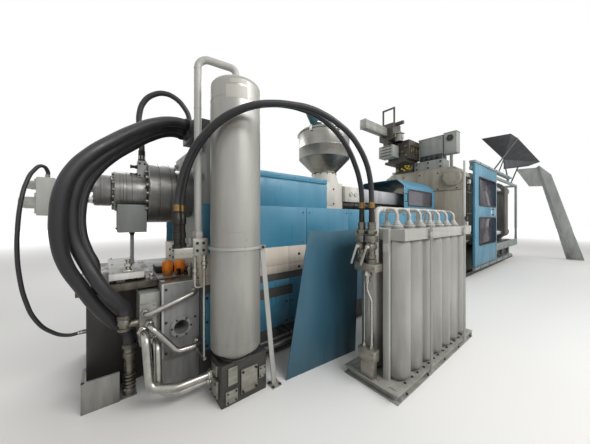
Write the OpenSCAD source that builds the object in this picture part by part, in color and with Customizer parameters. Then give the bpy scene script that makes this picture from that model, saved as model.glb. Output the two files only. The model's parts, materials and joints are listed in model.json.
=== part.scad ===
// Large injection moulding machine with a gas accumulator and its bottle rack.
// Millimetres. X runs from the injection end to the clamp end and -Y faces the operator.
// The origin is on the floor, under the injection axis, at the fixed platen's mould face.

/* [Axis and platens] */
// Height of the injection and clamp axis above the floor
axis_z = 1780; // [1740:5:1800]
// Thickness of the fixed platen
platen_t = 550; // [450:10:600]
// Half width of the fixed platen
platen_half_w = 1000; // [960:10:1000]
// Height of the top of the platens
platen_top_z = 2800; // [2780:5:2820]
// Distance from the axis to a tie bar, across the machine
tie_bar_y = 790; // [740:5:800]
// Distance from the axis to a tie bar, up or down
tie_bar_z = 745; // [700:5:760]
// Radius of a tie bar
tie_bar_r = 110; // [90:1:115]
// Gap between the mould faces with the clamp closed
mould_gap = 800; // [600:10:900]
// Spacing of the mould bolt holes
mould_bolt_pitch = 700; // [500:10:900]
// Radius of the locating ring bore
locating_r = 62.5; // [50:0.5:100]

/* [Bases] */
// Half width of the clamp base
clamp_base_half_w = 850; // [800:5:860]
// Height of the clamp base
clamp_base_h = 700; // [660:5:720]
// Length of the clamp base beyond the mould face
clamp_base_len = 5500; // [5450:10:5600]
// Half width of the injection base
inj_half_w = 800; // [780:1:810]
// Height of the top of the injection base's ledge
ledge_top_z = 1190; // [1170:5:1200]

/* [Injection unit] */
// Radius of the heater jackets
jacket_r = 175; // [150:1:180]
// Radius of the hopper
hopper_r = 440; // [380:5:460]
// Height of the hopper's rim
hopper_rim_z = 3000; // [2900:10:3100]
// Radius of the largest flange of the injection cylinder
flange_r = 315; // [300:1:320]

/* [Accumulator and bottles] */
// Radius of the accumulator shell
acc_r = 210; // [200:1:215]
// Radius of a gas bottle
bottle_r = 114.5; // [110:0.5:115]
// Spacing of the bottles along the rack
bottle_pitch = 232; // [231:1:234]
// Bottles in a row
bottles_a_row = 7; // [5:1:7]

/* [Hoses] */
// Outside radius of a gas hose
gas_hose_r = 23; // [20:1:32]
// Outside radius of a drive hose
drive_hose_r = 45; // [40:1:45]

/* [Hidden] */
$fn = 48;

blue = "#45849f";
dark_blue = "#2f5767";
cream = "#cfc3b4";
rack_grey = "#a9aaa1";
steel = "#7d7b78";
bright = "#b9bcbb";
dark = "#3a3b3c";
rubber = "#2c2c2e";

// Platens
platen_bottom_z = 790;
platen_corner = 180;
recess_r = 280;
nose_wall = 130;
moving_x0 = mould_gap;
moving_t = 450;
moving_half_w = 960;
cylinder_x0 = 3900;
cylinder_t = 500;
ram_r = 300;
ram_gap = 6;
ram_len = 2800;

// Door and frame
door_y = -1100;
door_t = 50;
door_len = 2100;
door_bottom_z = 290;
door_top_z = 2910;
frame_y0 = -1040;
frame_y1 = -975;

// Part picker's beam
picker_y0 = 520;
picker_y1 = 680;
picker_z0 = 3740;
picker_z1 = 3960;

// Injection side
inj_x0 = -6600;
inj_x1 = -720;
deck_z = 963;
deck_front_y = -560;

// Accumulator
acc_x = -6385;
acc_y = -1050;
acc_z0 = 450;
acc_z1 = 2610;
clamp_z = 1260;

// Rack
rack_x0 = -5440;
rack_x1 = -3590;
rack_y0 = -2010;
rack_y1 = -1460;
rack_base_h = 75;
row_mid_x = -4475;
row_front_y = -1857;
row_back_y = -1613;
tray_x0 = -5290;
tray_x1 = -3600;
tray_y0 = -1992;
tray_y1 = -1478;
tray_z0 = 1310;
tray_z1 = 1410;
neck_top_z = 1450;
header_z = 1590;
header_y = -1735;
valve_x = -5390;
valve_ys = [-1630, -1735];
lever_z = 1250;

function unit(v) = v / norm(v);

// A box between two corners
module box(lo, hi) {
    translate(lo) cube(hi - lo);
}

// A cylinder along X from x0 to x1
module x_rod(x0, x1, r, y, z) {
    translate([x0, y, z]) rotate([0, 90, 0]) cylinder(h = x1 - x0, r = r);
}

// A cylinder along Y from y0 to y1
module y_rod(y0, y1, r, x, z) {
    translate([x, y0, z]) rotate([-90, 0, 0]) cylinder(h = y1 - y0, r = r);
}

// A round bar between two points
module bar(p, q, r) {
    w = unit(q - p);
    helper = abs(w[2]) > 0.9 ? [1, 0, 0] : [0, 0, 1];
    u = unit(cross(helper, w));
    v = cross(w, u);
    multmatrix([[u[0], v[0], w[0], p[0]], [u[1], v[1], w[1], p[1]], [u[2], v[2], w[2], p[2]]])
        cylinder(h = norm(q - p), r = r);
}

// A square bar between two points, a wide and b deep
module flat_bar(p, q, a, b) {
    w = unit(q - p);
    u = unit(cross([0, 1, 0], w));
    v = cross(w, u);
    multmatrix([[u[0], v[0], w[0], p[0]], [u[1], v[1], w[1], p[1]], [u[2], v[2], w[2], p[2]]])
        translate([-a / 2, -b / 2, 0]) cube([a, b, norm(q - p)]);
}

// Points of a pipe run where each bend starts and ends
function turn(p, i) = acos(max(-1, min(1, unit(p[i] - p[i - 1]) * unit(p[i + 1] - p[i]))));
function setback(p, i, bend) = i == 0 || i == len(p) - 1 ? 0 : bend * tan(turn(p, i) / 2);

// One elbow of a pipe run, at the point q between p and s
module elbow(p, q, s, r, bend) {
    d0 = unit(q - p);
    d1 = unit(s - q);
    angle = acos(d0 * d1);
    start = q - d0 * bend * tan(angle / 2);
    inward = unit(d1 - d0 * (d0 * d1));
    centre = start + inward * bend;
    u = -inward;
    n = cross(u, d0);
    multmatrix([[u[0], d0[0], n[0], centre[0]],
                [u[1], d0[1], n[1], centre[1]],
                [u[2], d0[2], n[2], centre[2]]])
        rotate_extrude(angle = angle) translate([bend, 0]) circle(r = r);
}

// A steel pipe through the points p, with a weld collar at each end of a bend
module pipe_run(p, r, bend, collar = 0) {
    for (i = [0:len(p) - 2]) {
        d = unit(p[i + 1] - p[i]);
        bar(p[i] + d * setback(p, i, bend), p[i + 1] - d * setback(p, i + 1, bend), r);
    }
    for (i = [1:len(p) - 2]) {
        elbow(p[i - 1], p[i], p[i + 1], r, bend);
        if (collar > 0) for (q = [p[i - 1], p[i + 1]]) {
            d = unit(q - p[i]);
            weld = p[i] + d * setback(p, i, bend);
            bar(weld - d * collar, weld + d * collar, r + 1.5);
        }
    }
}

// A hose swept along its points, a ring of sides at each
function tangent(p, i) = i == 0 ? unit(p[1] - p[0])
    : i == len(p) - 1 ? unit(p[i] - p[i - 1])
    : unit(unit(p[i + 1] - p[i]) + unit(p[i] - p[i - 1]));
function side_dir(t) = unit(cross(t, abs(t[1]) > 0.8 ? [1, 0, 0] : [0, 1, 0]));
function hose_points(p, r, n) = [for (i = [0:len(p) - 1]) let (t = tangent(p, i),
    u = side_dir(t), v = cross(t, u)) for (k = [0:n - 1])
        p[i] + r * (cos(360 * k / n) * u + sin(360 * k / n) * v)];
function hose_faces(m, n) = concat([[for (k = [0:n - 1]) k]],
    [for (i = [0:m - 2], k = [0:n - 1])
        [i * n + k, (i + 1) * n + k, (i + 1) * n + (k + 1) % n, i * n + (k + 1) % n]],
    [[for (k = [0:n - 1]) (m - 1) * n + n - 1 - k]]);
module hose(p, r) {
    color(rubber) polyhedron(hose_points(p, r, 10), hose_faces(len(p), 10));
}

// The outline of a platen, seen along the axis, with its corners cut off
module platen_outline(half_w) {
    c = platen_corner;
    polygon([[-half_w + c, platen_bottom_z], [half_w - c, platen_bottom_z],
        [half_w, platen_bottom_z + c], [half_w, platen_top_z - c],
        [half_w - c, platen_top_z], [-half_w + c, platen_top_z],
        [-half_w, platen_top_z - c], [-half_w, platen_bottom_z + c]]);
}

// The outline pushed along X from x0 to x1
module platen_body(half_w, x0, x1) {
    multmatrix([[0, 0, 1, x0], [1, 0, 0, 0], [0, 1, 0, 0]])
        linear_extrude(height = x1 - x0) platen_outline(half_w);
}

module at_tie_bars() {
    for (y = [-tie_bar_y, tie_bar_y], z = [-tie_bar_z, tie_bar_z])
        translate([0, y, axis_z + z]) children();
}

// Fabricated bed of the clamp, with recessed bays along its sides and two ways on top
module clamp_base() {
    x0 = -640;
    color(dark) difference() {
        union() {
            box([x0, -clamp_base_half_w + 50, 90], [clamp_base_len, clamp_base_half_w - 50, clamp_base_h]);
            for (s = [-1, 1]) box([x0, s * 725 - 175, 0], [clamp_base_len, s * 725 + 175, 90]);
            box([x0, -100, 0], [clamp_base_len, 100, 90]);
            for (s = [-1, 1]) box([400, s * 600 - 80, clamp_base_h], [3850, s * 600 + 80, clamp_base_h + 30]);
        }
        for (s = [-1, 1], i = [0:5])
            box([x0 + 120 + i * 1000, s * 800 - 60, 170], [x0 + 960 + i * 1000, s * 800 + 60, 610]);
        for (s = [-1, 1], x = [-400, 5200])
            translate([x, s * 850, -1]) cylinder(h = 92, r = 18);
    }
}

module fixed_platen() {
    color("#9b9587") difference() {
        union() {
            platen_body(platen_half_w, -platen_t, 0);
            for (s = [-1, 1])
                box([-500, s * 600 - 180, clamp_base_h], [-50, s * 600 + 180, platen_bottom_z]);
        }
        at_tie_bars() x_rod(-platen_t - 1, 1, tie_bar_r, 0, 0);
        x_rod(-platen_t - 1, -nose_wall, recess_r, 0, axis_z);
        x_rod(-nose_wall - 1, 1, locating_r, 0, axis_z);
        for (y = [-1, 1], z = [-1, 1])
            x_rod(-60, 1, 12, y * mould_bolt_pitch / 2, axis_z + z * mould_bolt_pitch / 2);
        box([-platen_t - 1, -platen_half_w - 1, 2200], [-platen_t + 15, -recess_r - 40, 2225]);
    }
}

module tie_bars() {
    color(bright) at_tie_bars() x_rod(-platen_t - 60, 4560, tie_bar_r, 0, 0);
}

// Round nut covers at the injection end and nuts behind the cylinder platen
module tie_bar_nuts() {
    color(rack_grey) at_tie_bars() difference() {
        x_rod(-platen_t - 120, -platen_t, 205, 0, 0);
        x_rod(-platen_t - 60, -platen_t + 1, tie_bar_r, 0, 0);
    }
    color(steel) at_tie_bars() difference() {
        x_rod(cylinder_x0 + cylinder_t, cylinder_x0 + cylinder_t + 160, 180, 0, 0);
        x_rod(cylinder_x0 + cylinder_t - 1, cylinder_x0 + cylinder_t + 161, tie_bar_r, 0, 0);
    }
}

module cylinder_platen() {
    color("#9b9587") difference() {
        union() {
            platen_body(moving_half_w, cylinder_x0, cylinder_x0 + cylinder_t);
            for (s = [-1, 1])
                box([cylinder_x0 + 30, s * 600 - 180, clamp_base_h],
                    [cylinder_x0 + cylinder_t - 30, s * 600 + 180, platen_bottom_z]);
        }
        at_tie_bars() x_rod(cylinder_x0 - 1, cylinder_x0 + cylinder_t + 1, tie_bar_r, 0, 0);
        x_rod(cylinder_x0 - 1, cylinder_x0 + cylinder_t + 1, ram_r + ram_gap, 0, axis_z);
    }
}

module clamp_cylinder() {
    x0 = cylinder_x0 + cylinder_t;
    color(blue) difference() {
        union() {
            x_rod(x0, x0 + 120, 520, 0, axis_z);
            x_rod(x0 + 120, x0 + 980, 420, 0, axis_z);
            box([x0 + 700, -260, clamp_base_h], [x0 + 900, 260, axis_z - 300]);
        }
        x_rod(x0 - 1, x0 + 920, ram_r + ram_gap, 0, axis_z);
    }
}

module moving_platen() {
    x1 = moving_x0 + moving_t;
    color("#9b9587") difference() {
        union() {
            platen_body(moving_half_w, moving_x0, x1);
            for (s = [-1, 1])
                box([moving_x0 - 60, s * 600 - 120, clamp_base_h + 36], [x1 + 60, s * 600 + 120, platen_bottom_z]);
        }
        at_tie_bars() x_rod(moving_x0 - 1, x1 + 1, tie_bar_r + 2, 0, 0);
        for (y = [-1, 1], z = [-1, 1])
            x_rod(moving_x0 - 1, moving_x0 + 60, 12,
                y * mould_bolt_pitch / 2, axis_z + z * mould_bolt_pitch / 2);
    }
}

module clamp_ram() {
    x0 = moving_x0 + moving_t;
    color(bright) union() {
        x_rod(x0, x0 + 90, 440, 0, axis_z);
        x_rod(x0 + 90, x0 + ram_len, ram_r, 0, axis_z);
    }
}

// Sliding guard door with two window openings
module door_panel(y0, y1) {
    difference() {
        box([0, y0, door_bottom_z], [door_len, y1, door_top_z]);
        for (z = [810, 1850])
            translate([350, y0 - 1, z]) window_hole(1610, z == 810 ? 730 : 750, y1 - y0 + 2);
    }
}

module window_hole(w, h, t) {
    r = 70;
    translate([0, t, 0]) rotate([90, 0, 0]) linear_extrude(height = t) union() {
        translate([r, 0]) square([w - 2 * r, h]);
        translate([0, r]) square([w, h - 2 * r]);
        for (x = [r, w - r], y = [r, h - r]) translate([x, y]) circle(r = r);
    }
}

module operator_door() {
    color(blue) union() {
        door_panel(door_y, door_y + door_t);
        box([1470, door_y - 60, 1600], [1500, door_y, 1640]);
        box([1470, door_y - 60, 1760], [1500, door_y, 1800]);
        box([1470, door_y - 80, 1600], [1500, door_y - 60, 1800]);
    }
}

module door_windows() {
    color("#5c5760") for (z = [810, 1850])
        translate([350, door_y + 20, z]) window_hole(1610, z == 810 ? 730 : 750, 8);
}

module rear_guard() {
    y0 = -door_y - door_t;
    color(blue) difference() {
        box([0, y0, door_bottom_z], [door_len, y0 + door_t, door_top_z]);
        for (z = [810, 1850])
            translate([350, y0 + 30, z]) window_hole(1610, z == 810 ? 730 : 750, 30);
    }
}

// Posts, rails and door tracks round the clamp
module guard_side() {
    box([0, frame_y0, 2760], [5500, frame_y1, 2840]);
    box([2110, frame_y0, 500], [5500, frame_y1, 720]);
    box([2110, frame_y0, 720], [2180, frame_y1, 2760]);
    box([5400, frame_y0, 720], [5500, frame_y1, 2760]);
    box([2110, frame_y1, 560], [2180, -clamp_base_half_w + 50, 690]);
    box([5400, frame_y1, 560], [5490, -clamp_base_half_w + 50, 690]);
    box([0, door_y - 10, door_top_z + 20], [4150, frame_y1, door_top_z + 80]);
    for (x = [40, 2120, 4060]) box([x, frame_y0, 2840], [x + 60, frame_y1, door_top_z + 20]);
    box([0, door_y - 10, 200], [4150, door_y + door_t + 10, 270]);
    for (x = [370, 2370, 3370]) box([x, door_y + door_t + 10, 200], [x + 60, -clamp_base_half_w + 50, 270]);
}

module guard_frame() {
    color(rack_grey) union() {
        guard_side();
        mirror([0, 1, 0]) guard_side();
        box([5400, frame_y1, 2760], [5470, -frame_y1, 2840]);
        box([2120, frame_y0, 2840], [2180, -frame_y0, 2900]);
    }
}

// A flat sheet t thick through the corners p, with its middle on the plane of the first three
module flat_sheet(p, t) {
    o = p[0];
    u = unit(p[1] - o);
    n = unit(cross(u, p[2] - o));
    v = cross(n, u);
    multmatrix([[u[0], v[0], n[0], o[0]], [u[1], v[1], n[1], o[1]], [u[2], v[2], n[2], o[2]]])
        translate([0, 0, -t / 2]) linear_extrude(height = t) polygon([for (q = p) [(q - o) * u, (q - o) * v]]);
}

// Dark funnel folded from sheet, sloping from over the clamp to the mouth of the chute
module hood() {
    near_back = [2670, -585, 4200];
    near_front = [2790, -1310, 4200];
    top_front = [3520, -1360, 4200];
    low_front = [5000, -1730, 3560];
    back_fold = [4060, -900, 3660];
    back_foot = [4060, -900, 3310];
    low_back = [5120, -1400, 3476];
    track_top = 2990;
    rail_top = 2840;
    t = 12;
    color(dark) union() {
        flat_sheet([near_back, near_front, back_fold], t);
        flat_sheet([near_front, top_front, back_fold], t);
        flat_sheet([top_front, low_front, back_fold], t);
        flat_sheet([back_fold, low_front, back_foot], t);
        flat_sheet([low_front, low_back, back_foot], t);
        flat_bar(top_front, [2150, -1012, track_top + 16], 36, 28);
        flat_bar(back_fold, [2760, -1012, track_top + 16], 28, 28);
        flat_bar(back_fold - [0, 0, 60], [4060, -1010, track_top + 8], 36, 36);
        flat_bar([4600, -1210, 3430], [4600, -1010, rail_top + 8], 36, 36);
        for (x = [2150, 2760, 4060]) box([x - 40, -1042, track_top], [x + 40, -982, track_top + 12]);
        box([4560, -1042, rail_top], [4640, -982, rail_top + 12]);
    }
}

// Tall folded sheet chute from the hood's mouth to the floor, open towards the clamp end
module chute() {
    back_top = [5150, -1620, 3390];
    fold_top = [5050, -1700, 3440];
    front_top = [5200, -1990, 3090];
    back_foot = [6266, -2260, -50];
    fold_foot = [6166, -2461, -50];
    front_foot = [6266, -2741, -50];
    knee = [5370, -1746, 2712];
    mouth_far = [5000, -1080, 3390];
    mouth_low = [5100, -1460, 2680];
    t = 12;
    color("#8f958f") difference() {
        union() {
            flat_sheet([back_top, fold_top, fold_foot, back_foot], t);
            flat_sheet([fold_top, front_top, front_foot, fold_foot], t);
            flat_sheet([mouth_far, back_top, knee, mouth_low], t);
        }
        box([6000, -2900, -150], [6500, -2100, 0]);
    }
}

module platen_top_units() {
    color("#9b9c93") union() {
        box([-520, -560, platen_top_z], [-100, 160, 3050]);
        for (x = [-470, -230], y = [-540, 30]) box([x, y, 3050], [x + 20, y + 20, 3200]);
        box([-480, -550, 3200], [-200, 60, 3650]);
        box([-430, -740, platen_top_z], [-370, -680, 3150]);
        box([-520, -860, 3150], [-280, -580, 3670]);
    }
}

// Foot, gear block, head and motor of the part picker on the fixed platen's top
module picker_base() {
    head_x = -1300;
    beam_gap = 6;
    color(dark) difference() {
        union() {
            box([-540, 200, platen_top_z], [-200, 700, 3050]);
            box([-950, 180, 3050], [-200, 800, 3120]);
            box([-950, 90, 3120], [-300, 700, 3620]);
            box([head_x, 440, 3620], [-300, 760, 3700]);
            box([head_x, 355, 3640], [-900, 760, 4060]);
            box([head_x, 500, 3480], [-1000, 640, 3640]);
            box([head_x, 360, 3170], [-1000, 770, 3480]);
            y_rod(170, 560, 50, -1100, 4060);
            translate([-1100, 300, 3560]) cylinder(h = 220, r = 100);
            for (y = [355, 675]) box([-1220, y, 4060], [-1180, y + 40, 4500]);
            box([-1220, 355, 4460], [-1180, 715, 4500]);
        }
        box([head_x - 10, picker_y0 - beam_gap, picker_z0 - beam_gap],
            [-890, picker_y1 + beam_gap, picker_z1 + beam_gap]);
    }
}

module picker_beam() {
    color(rack_grey) box([-2260, picker_y0, picker_z0], [-600, picker_y1, picker_z1]);
}

// Dark machine bed of the injection side with its feet, the rear stand and the oily deck
module injection_base() {
    color(dark) union() {
        box([inj_x0, -inj_half_w + 10, 60], [inj_x1, inj_half_w - 10, 900]);
        for (s = [-1, 1], i = [0:4])
            translate([inj_x0 + 300 + i * 1300, s * 620, 0]) cylinder(h = 60, r = 90);
        box([-7400, -300, 0], [-6960, 600, deck_z - 38]);
        box([-7450, deck_front_y, deck_z - 38], [-6900, 735, deck_z]);
    }
}

module lower_panels() {
    color(blue) for (s = [0, 1]) mirror([0, s, 0]) difference() {
        box([inj_x0 + 10, -inj_half_w, 310], [inj_x1 - 10, -inj_half_w + 10, 820]);
        box([-6060, -inj_half_w - 1, 640], [-5560, -inj_half_w + 11, 750]);
    }
}

module base_ledge() {
    color(cream) box([inj_x0, -inj_half_w, 900], [inj_x1, inj_half_w, ledge_top_z]);
}

module upper_guards() {
    color(blue) for (s = [0, 1]) mirror([0, s, 0]) union() {
        box([inj_x0 + 10, -inj_half_w, ledge_top_z], [inj_x1 - 10, -inj_half_w + 30, 1640]);
        box([inj_x0 + 10, -inj_half_w + 30, 1620], [inj_x1 - 10, -690, 1640]);
    }
}

module injection_cover() {
    color(blue) union() {
        box([-6300, -680, ledge_top_z], [-4890, 680, 1640]);
        box([-6300, -700, 1640], [-4890, 700, 1960]);
        box([-6300, -690, 1960], [-4890, 690, 1975]);
        box([-6300, -705, 1975], [-4890, 705, 2040]);
    }
}

module feed_housing() {
    color("#c9c6bc") union() {
        box([-4890, -300, ledge_top_z], [-4100, 300, 2100]);
        translate([-4240, 0, 2100]) cylinder(h = 190, r1 = 260, r2 = 200);
    }
}

module hopper() {
    color(bright) translate([-4240, 0, 0]) union() {
        translate([0, 0, 2290]) cylinder(h = 250, r1 = 200, r2 = hopper_r);
        translate([0, 0, 2540]) cylinder(h = hopper_rim_z - 2540, r = hopper_r);
        translate([0, 0, hopper_rim_z]) cylinder(h = 30, r1 = hopper_r, r2 = 200);
    }
}

module hopper_loader() {
    color(dark_blue) translate([-4500, -80, hopper_rim_z + 6]) union() {
        difference() {
            cylinder(h = 90, r = 75);
            translate([260, 80, -6]) cylinder(h = 30, r1 = hopper_r + 0.5, r2 = 200.5);
        }
        translate([0, 0, 70]) rotate([0, -35, 0]) cylinder(h = 240, r = 85);
    }
}

module barrel() {
    color(steel) union() {
        x_rod(-4100, -430, 120, 0, axis_z);
        x_rod(-430, -280, 90, 0, axis_z);
        translate([-280, 0, axis_z]) rotate([0, 90, 0]) cylinder(h = 140, r1 = 90, r2 = 28);
    }
}

module heater_jackets() {
    color(bright) for (i = [0:6]) difference() {
        x_rod(-4080 + i * 480, -4080 + i * 480 + 460, jacket_r, 0, axis_z);
        x_rod(-4081 + i * 480, -4080 + i * 480 + 461, 120, 0, axis_z);
    }
}

module cable_trays() {
    color(dark) for (z = [1480, 2010]) difference() {
        box([-4100, -260, z], [-950, 260, z + 60]);
        box([-4090, -250, z + 8], [-960, 250, z + 61]);
    }
}

// Guard over the nozzle, open below and at both ends, with a window in each side
module purge_guard() {
    x0 = -2500;
    x1 = -1040;
    t = 8;
    color(blue) difference() {
        purge_body(x0, x1, 0);
        purge_body(x0 - 1, x1 + 1, t);
        for (s = [0, 1]) mirror([0, s, 0])
            translate([x0 + 170, -570, 1780]) window_hole(1120, 330, 30);
    }
}

module purge_body(x0, x1, t) {
    multmatrix([[0, 0, 1, x0], [1, 0, 0, 0], [0, 1, 0, 0]]) linear_extrude(height = x1 - x0)
        polygon([[-560 + t, 1655 - t], [560 - t, 1655 - t], [560 - t, 2190], [400, 2330 - t],
            [-400, 2330 - t], [-560 + t, 2190]]);
}

// Flanged hydraulic cylinder on the injection axis, from its platen out to the rear
module injection_cylinder() {
    color(steel) union() {
        x_rod(-7360, -7225, 150, 0, axis_z);
        x_rod(-7225, -7205, 120, 0, axis_z);
        x_rod(-7205, -6935, 195, 0, axis_z);
        x_rod(-6935, -6690, flange_r, 0, axis_z);
        x_rod(-6690, -6500, 265, 0, axis_z);
        box([-6500, -640, ledge_top_z], [-6300, 640, 2300]);
    }
}

module drive_end() {
    color("#b5b6ad") union() {
        for (y = [-70, 70], z = [-60, 60]) x_rod(-7605, -7360, 22, y, axis_z - 40 + z);
        box([-7720, -130, 1530], [-7605, 130, 1850]);
        x_rod(-7835, -7720, 50, 0, 1640);
        x_rod(-7790, -7720, 38, 0, 1790);
    }
}

module top_valve_block() {
    color("#b5b6ad") difference() {
        union() {
            box([-7015, -130, 1900], [-6938, -30, 2090]);
            translate([-6976, -80, 2090]) cylinder(h = 60, r = 28);
        }
        x_rod(-7210, -6930, 195.1, 0, axis_z);
    }
}

module junction_box() {
    color("#8e9089") difference() {
        union() {
            box([-7180, -200, 1370], [-6945, 20, 1640]);
            translate([-7060, -90, 1050]) cylinder(h = 320, r = 16);
        }
        x_rod(-7210, -6930, 195, 0, axis_z);
    }
}

// Valve manifold on top of the injection platen, with a stub for each hose
module hose_manifold() {
    color(dark) union() {
        box([-6600, -640, 2300], [-6320, -160, 2470]);
        x_rod(-6640, -6600, 50, -540, 2410);
        x_rod(-6640, -6600, 50, -425, 2385);
        x_rod(-6640, -6600, 38, -320, 2360);
        translate([-6560, -240, 2470]) cylinder(h = 30, r = 32);
    }
}

module tray_plate() {
    color("#b3b3aa") union() {
        box([-7250, -565, 1040], [-7010, 420, 1050]);
        box([-7250, -565, 1000], [-7010, -560, 1040]);
        box([-7200, 0, deck_z], [-7060, 380, 1040]);
        box([-7200, -500, deck_z], [-7140, -440, 1040]);
    }
}

module orange_caps() {
    color("#d8761c") for (x = [-6800, -6700]) translate([x, -420 - (x + 6800) * 0.3, deck_z])
        union() {
            cylinder(h = 110, r = 42);
            translate([0, 0, 110]) cylinder(h = 12, r1 = 42, r2 = 34);
        }
}

// Grey tank end with a round port in a raised ring and a channel below
module end_box() {
    color("#85868a") difference() {
        union() {
            box([-6900, -735, 80], [inj_x0, 735, deck_z]);
            box([-6880, -700, 0], [inj_x0 - 20, 700, 80]);
            y_rod(-741, -735, 92, -6751, 558);
        }
        y_rod(-742, -500, 60, -6751, 558);
        box([-6890, -736, 300], [-6620, -729, 320]);
    }
}

module tube_manifold() {
    color("#8e9089") union() {
        box([-7050, -670, 450], [-6905, -400, 880]);
        box([-7055, -700, 525], [-6935, -670, 800]);
    }
}

module bent_tubes() {
    color(bright) {
        pipe_run([[-7020, -700, 740], [-7020, -800, 740], [-6650, -805, 860], [-6650, -735, 860]], 19, 60, 4);
        pipe_run([[-6990, -700, 640], [-6990, -800, 640], [-6800, -830, 400], [-6624, -830, 400],
            [-6624, -735, 400]], 19, 60, 4);
        pipe_run([[-7030, -700, 590], [-7030, -840, 590], [-7010, -890, 210], [-6840, -985, 200],
            [-6560, -985, 200]], 25, 60, 5);
        pipe_run([[-6945, -670, 490], [-6945, -800, 490], [-6945, -860, 150], [-6820, -955, 140],
            [-6560, -955, 140]], 25, 60, 5);
    }
}

module drip_sheet() {
    color("#6d6c66") union() {
        box([-7420, -560, 0], [-7412, -310, 240]);
        box([-7420, -560, 0], [-7180, -552, 240]);
        box([-7412, -552, 0], [-7060, -310, 12]);
    }
}

// Fittings that the lower ends of the drive hoses and the loop hose screw into
module hose_feet() {
    color(steel) union() {
        translate([-7110, -500, 12]) cylinder(h = 388, r = 48);
    }
    color(steel) union() {
        translate([-7150, -620, 600]) cylinder(h = 90, r = 48);
        x_rod(-7150, -7050, 30, -620, 640);
    }
    color(steel) translate([-7335, -495, deck_z]) cylinder(h = 77, r = 40);
    color(steel) x_rod(-7425, -7400, 20, -250, 530);
}

module accumulator() {
    color(rack_grey) translate([acc_x, acc_y, 0]) union() {
        translate([0, 0, acc_z0 - 110]) cylinder(h = 60, r = 120);
        translate([0, 0, acc_z0 - 50]) cylinder(h = 50, r1 = 150, r2 = acc_r);
        translate([0, 0, acc_z0]) cylinder(h = acc_z1 - acc_z0, r = acc_r);
        translate([0, 0, acc_z1]) cylinder(h = 40, r1 = acc_r, r2 = 170);
        translate([0, 0, acc_z1 + 40]) cylinder(h = 50, r = 85);
    }
}

module accumulator_leg() {
    color(rack_grey) union() {
        difference() {
            translate([acc_x, acc_y, clamp_z - 10]) cylinder(h = 20, r = acc_r + 12);
            translate([acc_x, acc_y, clamp_z - 11]) cylinder(h = 22, r = acc_r);
        }
        difference() {
            flat_bar([-6212, -1202, clamp_z - 8], [-6070, -1180, -30], 45, 10);
            box([-6150, -1300, -100], [-5980, -1100, 0]);
        }
        box([-6120, -1230, 0], [-6020, -1130, 8]);
        difference() {
            box([-6590, -945, clamp_z - 10], [-6560, -905, clamp_z + 10]);
            translate([acc_x, acc_y, clamp_z - 11]) cylinder(h = 22, r = acc_r);
        }
    }
}

module accumulator_block() {
    color(steel) union() {
        box([-6560, -1170, 0], [-6150, -930, acc_z0 - 110]);
        for (y = [-985, -1080]) x_rod(-6150, -5700, 24, y, 290);
        for (y = [-985, -1080]) y_rod(y - 10, -800, 24, -5700 + (y + 985) * 0.6, 290);
    }
}

module gas_pipe() {
    color(bright) pipe_run([[-6664, -915, 1340], [-6664, -915, 2860], [acc_x, acc_y, 2797],
        [acc_x, acc_y, acc_z1 + 90.5]], 30, 76, 6);
}

module gas_valve_block() {
    color("#b5b6ad") union() {
        box([-6715, -950, 1200], [-6590, -835, 1340]);
        box([-6860, -985, 1190], [-6715, -825, 1270]);
        for (p = [[-6830, -945], [-6780, -870]])
            translate([p[0], p[1], 1270]) union() {
                cylinder(h = 190, r = 24);
                translate([0, 0, 190]) cylinder(h = 100, r = 36);
            }
        translate([-6615, -925, 1150]) cylinder(h = 50, r = 22);
        translate([-6615, -925, 1075]) cylinder(h = 75, r = 28);
        translate([-6615, -925, 320]) cylinder(h = 755, r = 10);
        y_rod(-940, -735, 14, -6615, 320);
    }
}

// Base of rolled channel, open outwards, with cross members
module channel_base() {
    difference() {
        box([rack_x0, rack_y0, 0], [rack_x1, rack_y1, rack_base_h]);
        box([rack_x0 + 50, rack_y0 + 50, -1], [rack_x1 - 50, rack_y1 - 50, rack_base_h + 1]);
        difference() {
            box([rack_x0 - 1, rack_y0 - 1, 8], [rack_x1 + 1, rack_y1 + 1, rack_base_h - 8]);
            box([rack_x0 + 42, rack_y0 + 42, 7], [rack_x1 - 42, rack_y1 - 42, rack_base_h]);
        }
    }
    for (y = [row_front_y, row_back_y])
        box([rack_x0 + 50, y - 40, rack_base_h - 10], [rack_x1 - 50, y + 40, rack_base_h]);
}

// Folded tray over the bottles' shoulders, with a hole for each neck
module shoulder_tray() {
    difference() {
        box([tray_x0, tray_y0, tray_z0], [tray_x1, tray_y1, tray_z1]);
        box([tray_x0 + 6, tray_y0 + 6, tray_z0 - 1], [tray_x1 - 6, tray_y1 - 6, tray_z1 - 6]);
        for (i = [0:bottles_a_row - 1], y = [row_front_y, row_back_y])
            translate([bottle_x(i), y, tray_z1 - 10]) cylinder(h = 20, r = 64);
    }
}

module rack_frame() {
    color(rack_grey) union() {
        channel_base();
        shoulder_tray();
        for (x = [tray_x0 - 32, tray_x1])
            box([x, -1862, rack_base_h], [x + 32, -1806, tray_z1]);
        box([rack_x0 + 50, -1862, rack_base_h - 10], [tray_x0, -1806, rack_base_h]);
        for (k = [2, 6], dx = [-22, 10]) {
            x = bottle_x(k) - bottle_pitch / 2;
            box([x + dx, rack_y0 - 8, 40], [x + dx + 12, rack_y0, tray_z1 + 10]);
            box([x - 30, rack_y0 - 8, 1335], [x + 30, tray_y0, 1375]);
        }
    }
}

function bottle_x(i) = row_mid_x + (i - (bottles_a_row - 1) / 2) * bottle_pitch;

module bottle() {
    rotate_extrude() polygon([[0, 0], [bottle_r - 18, 0], [bottle_r, 26], [bottle_r, 1190],
        [bottle_r - 8, 1226], [bottle_r - 26, 1262], [62, 1300], [58, 1318], [58, 1350],
        [38, 1354], [38, neck_top_z - rack_base_h], [0, neck_top_z - rack_base_h]]);
}

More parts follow.
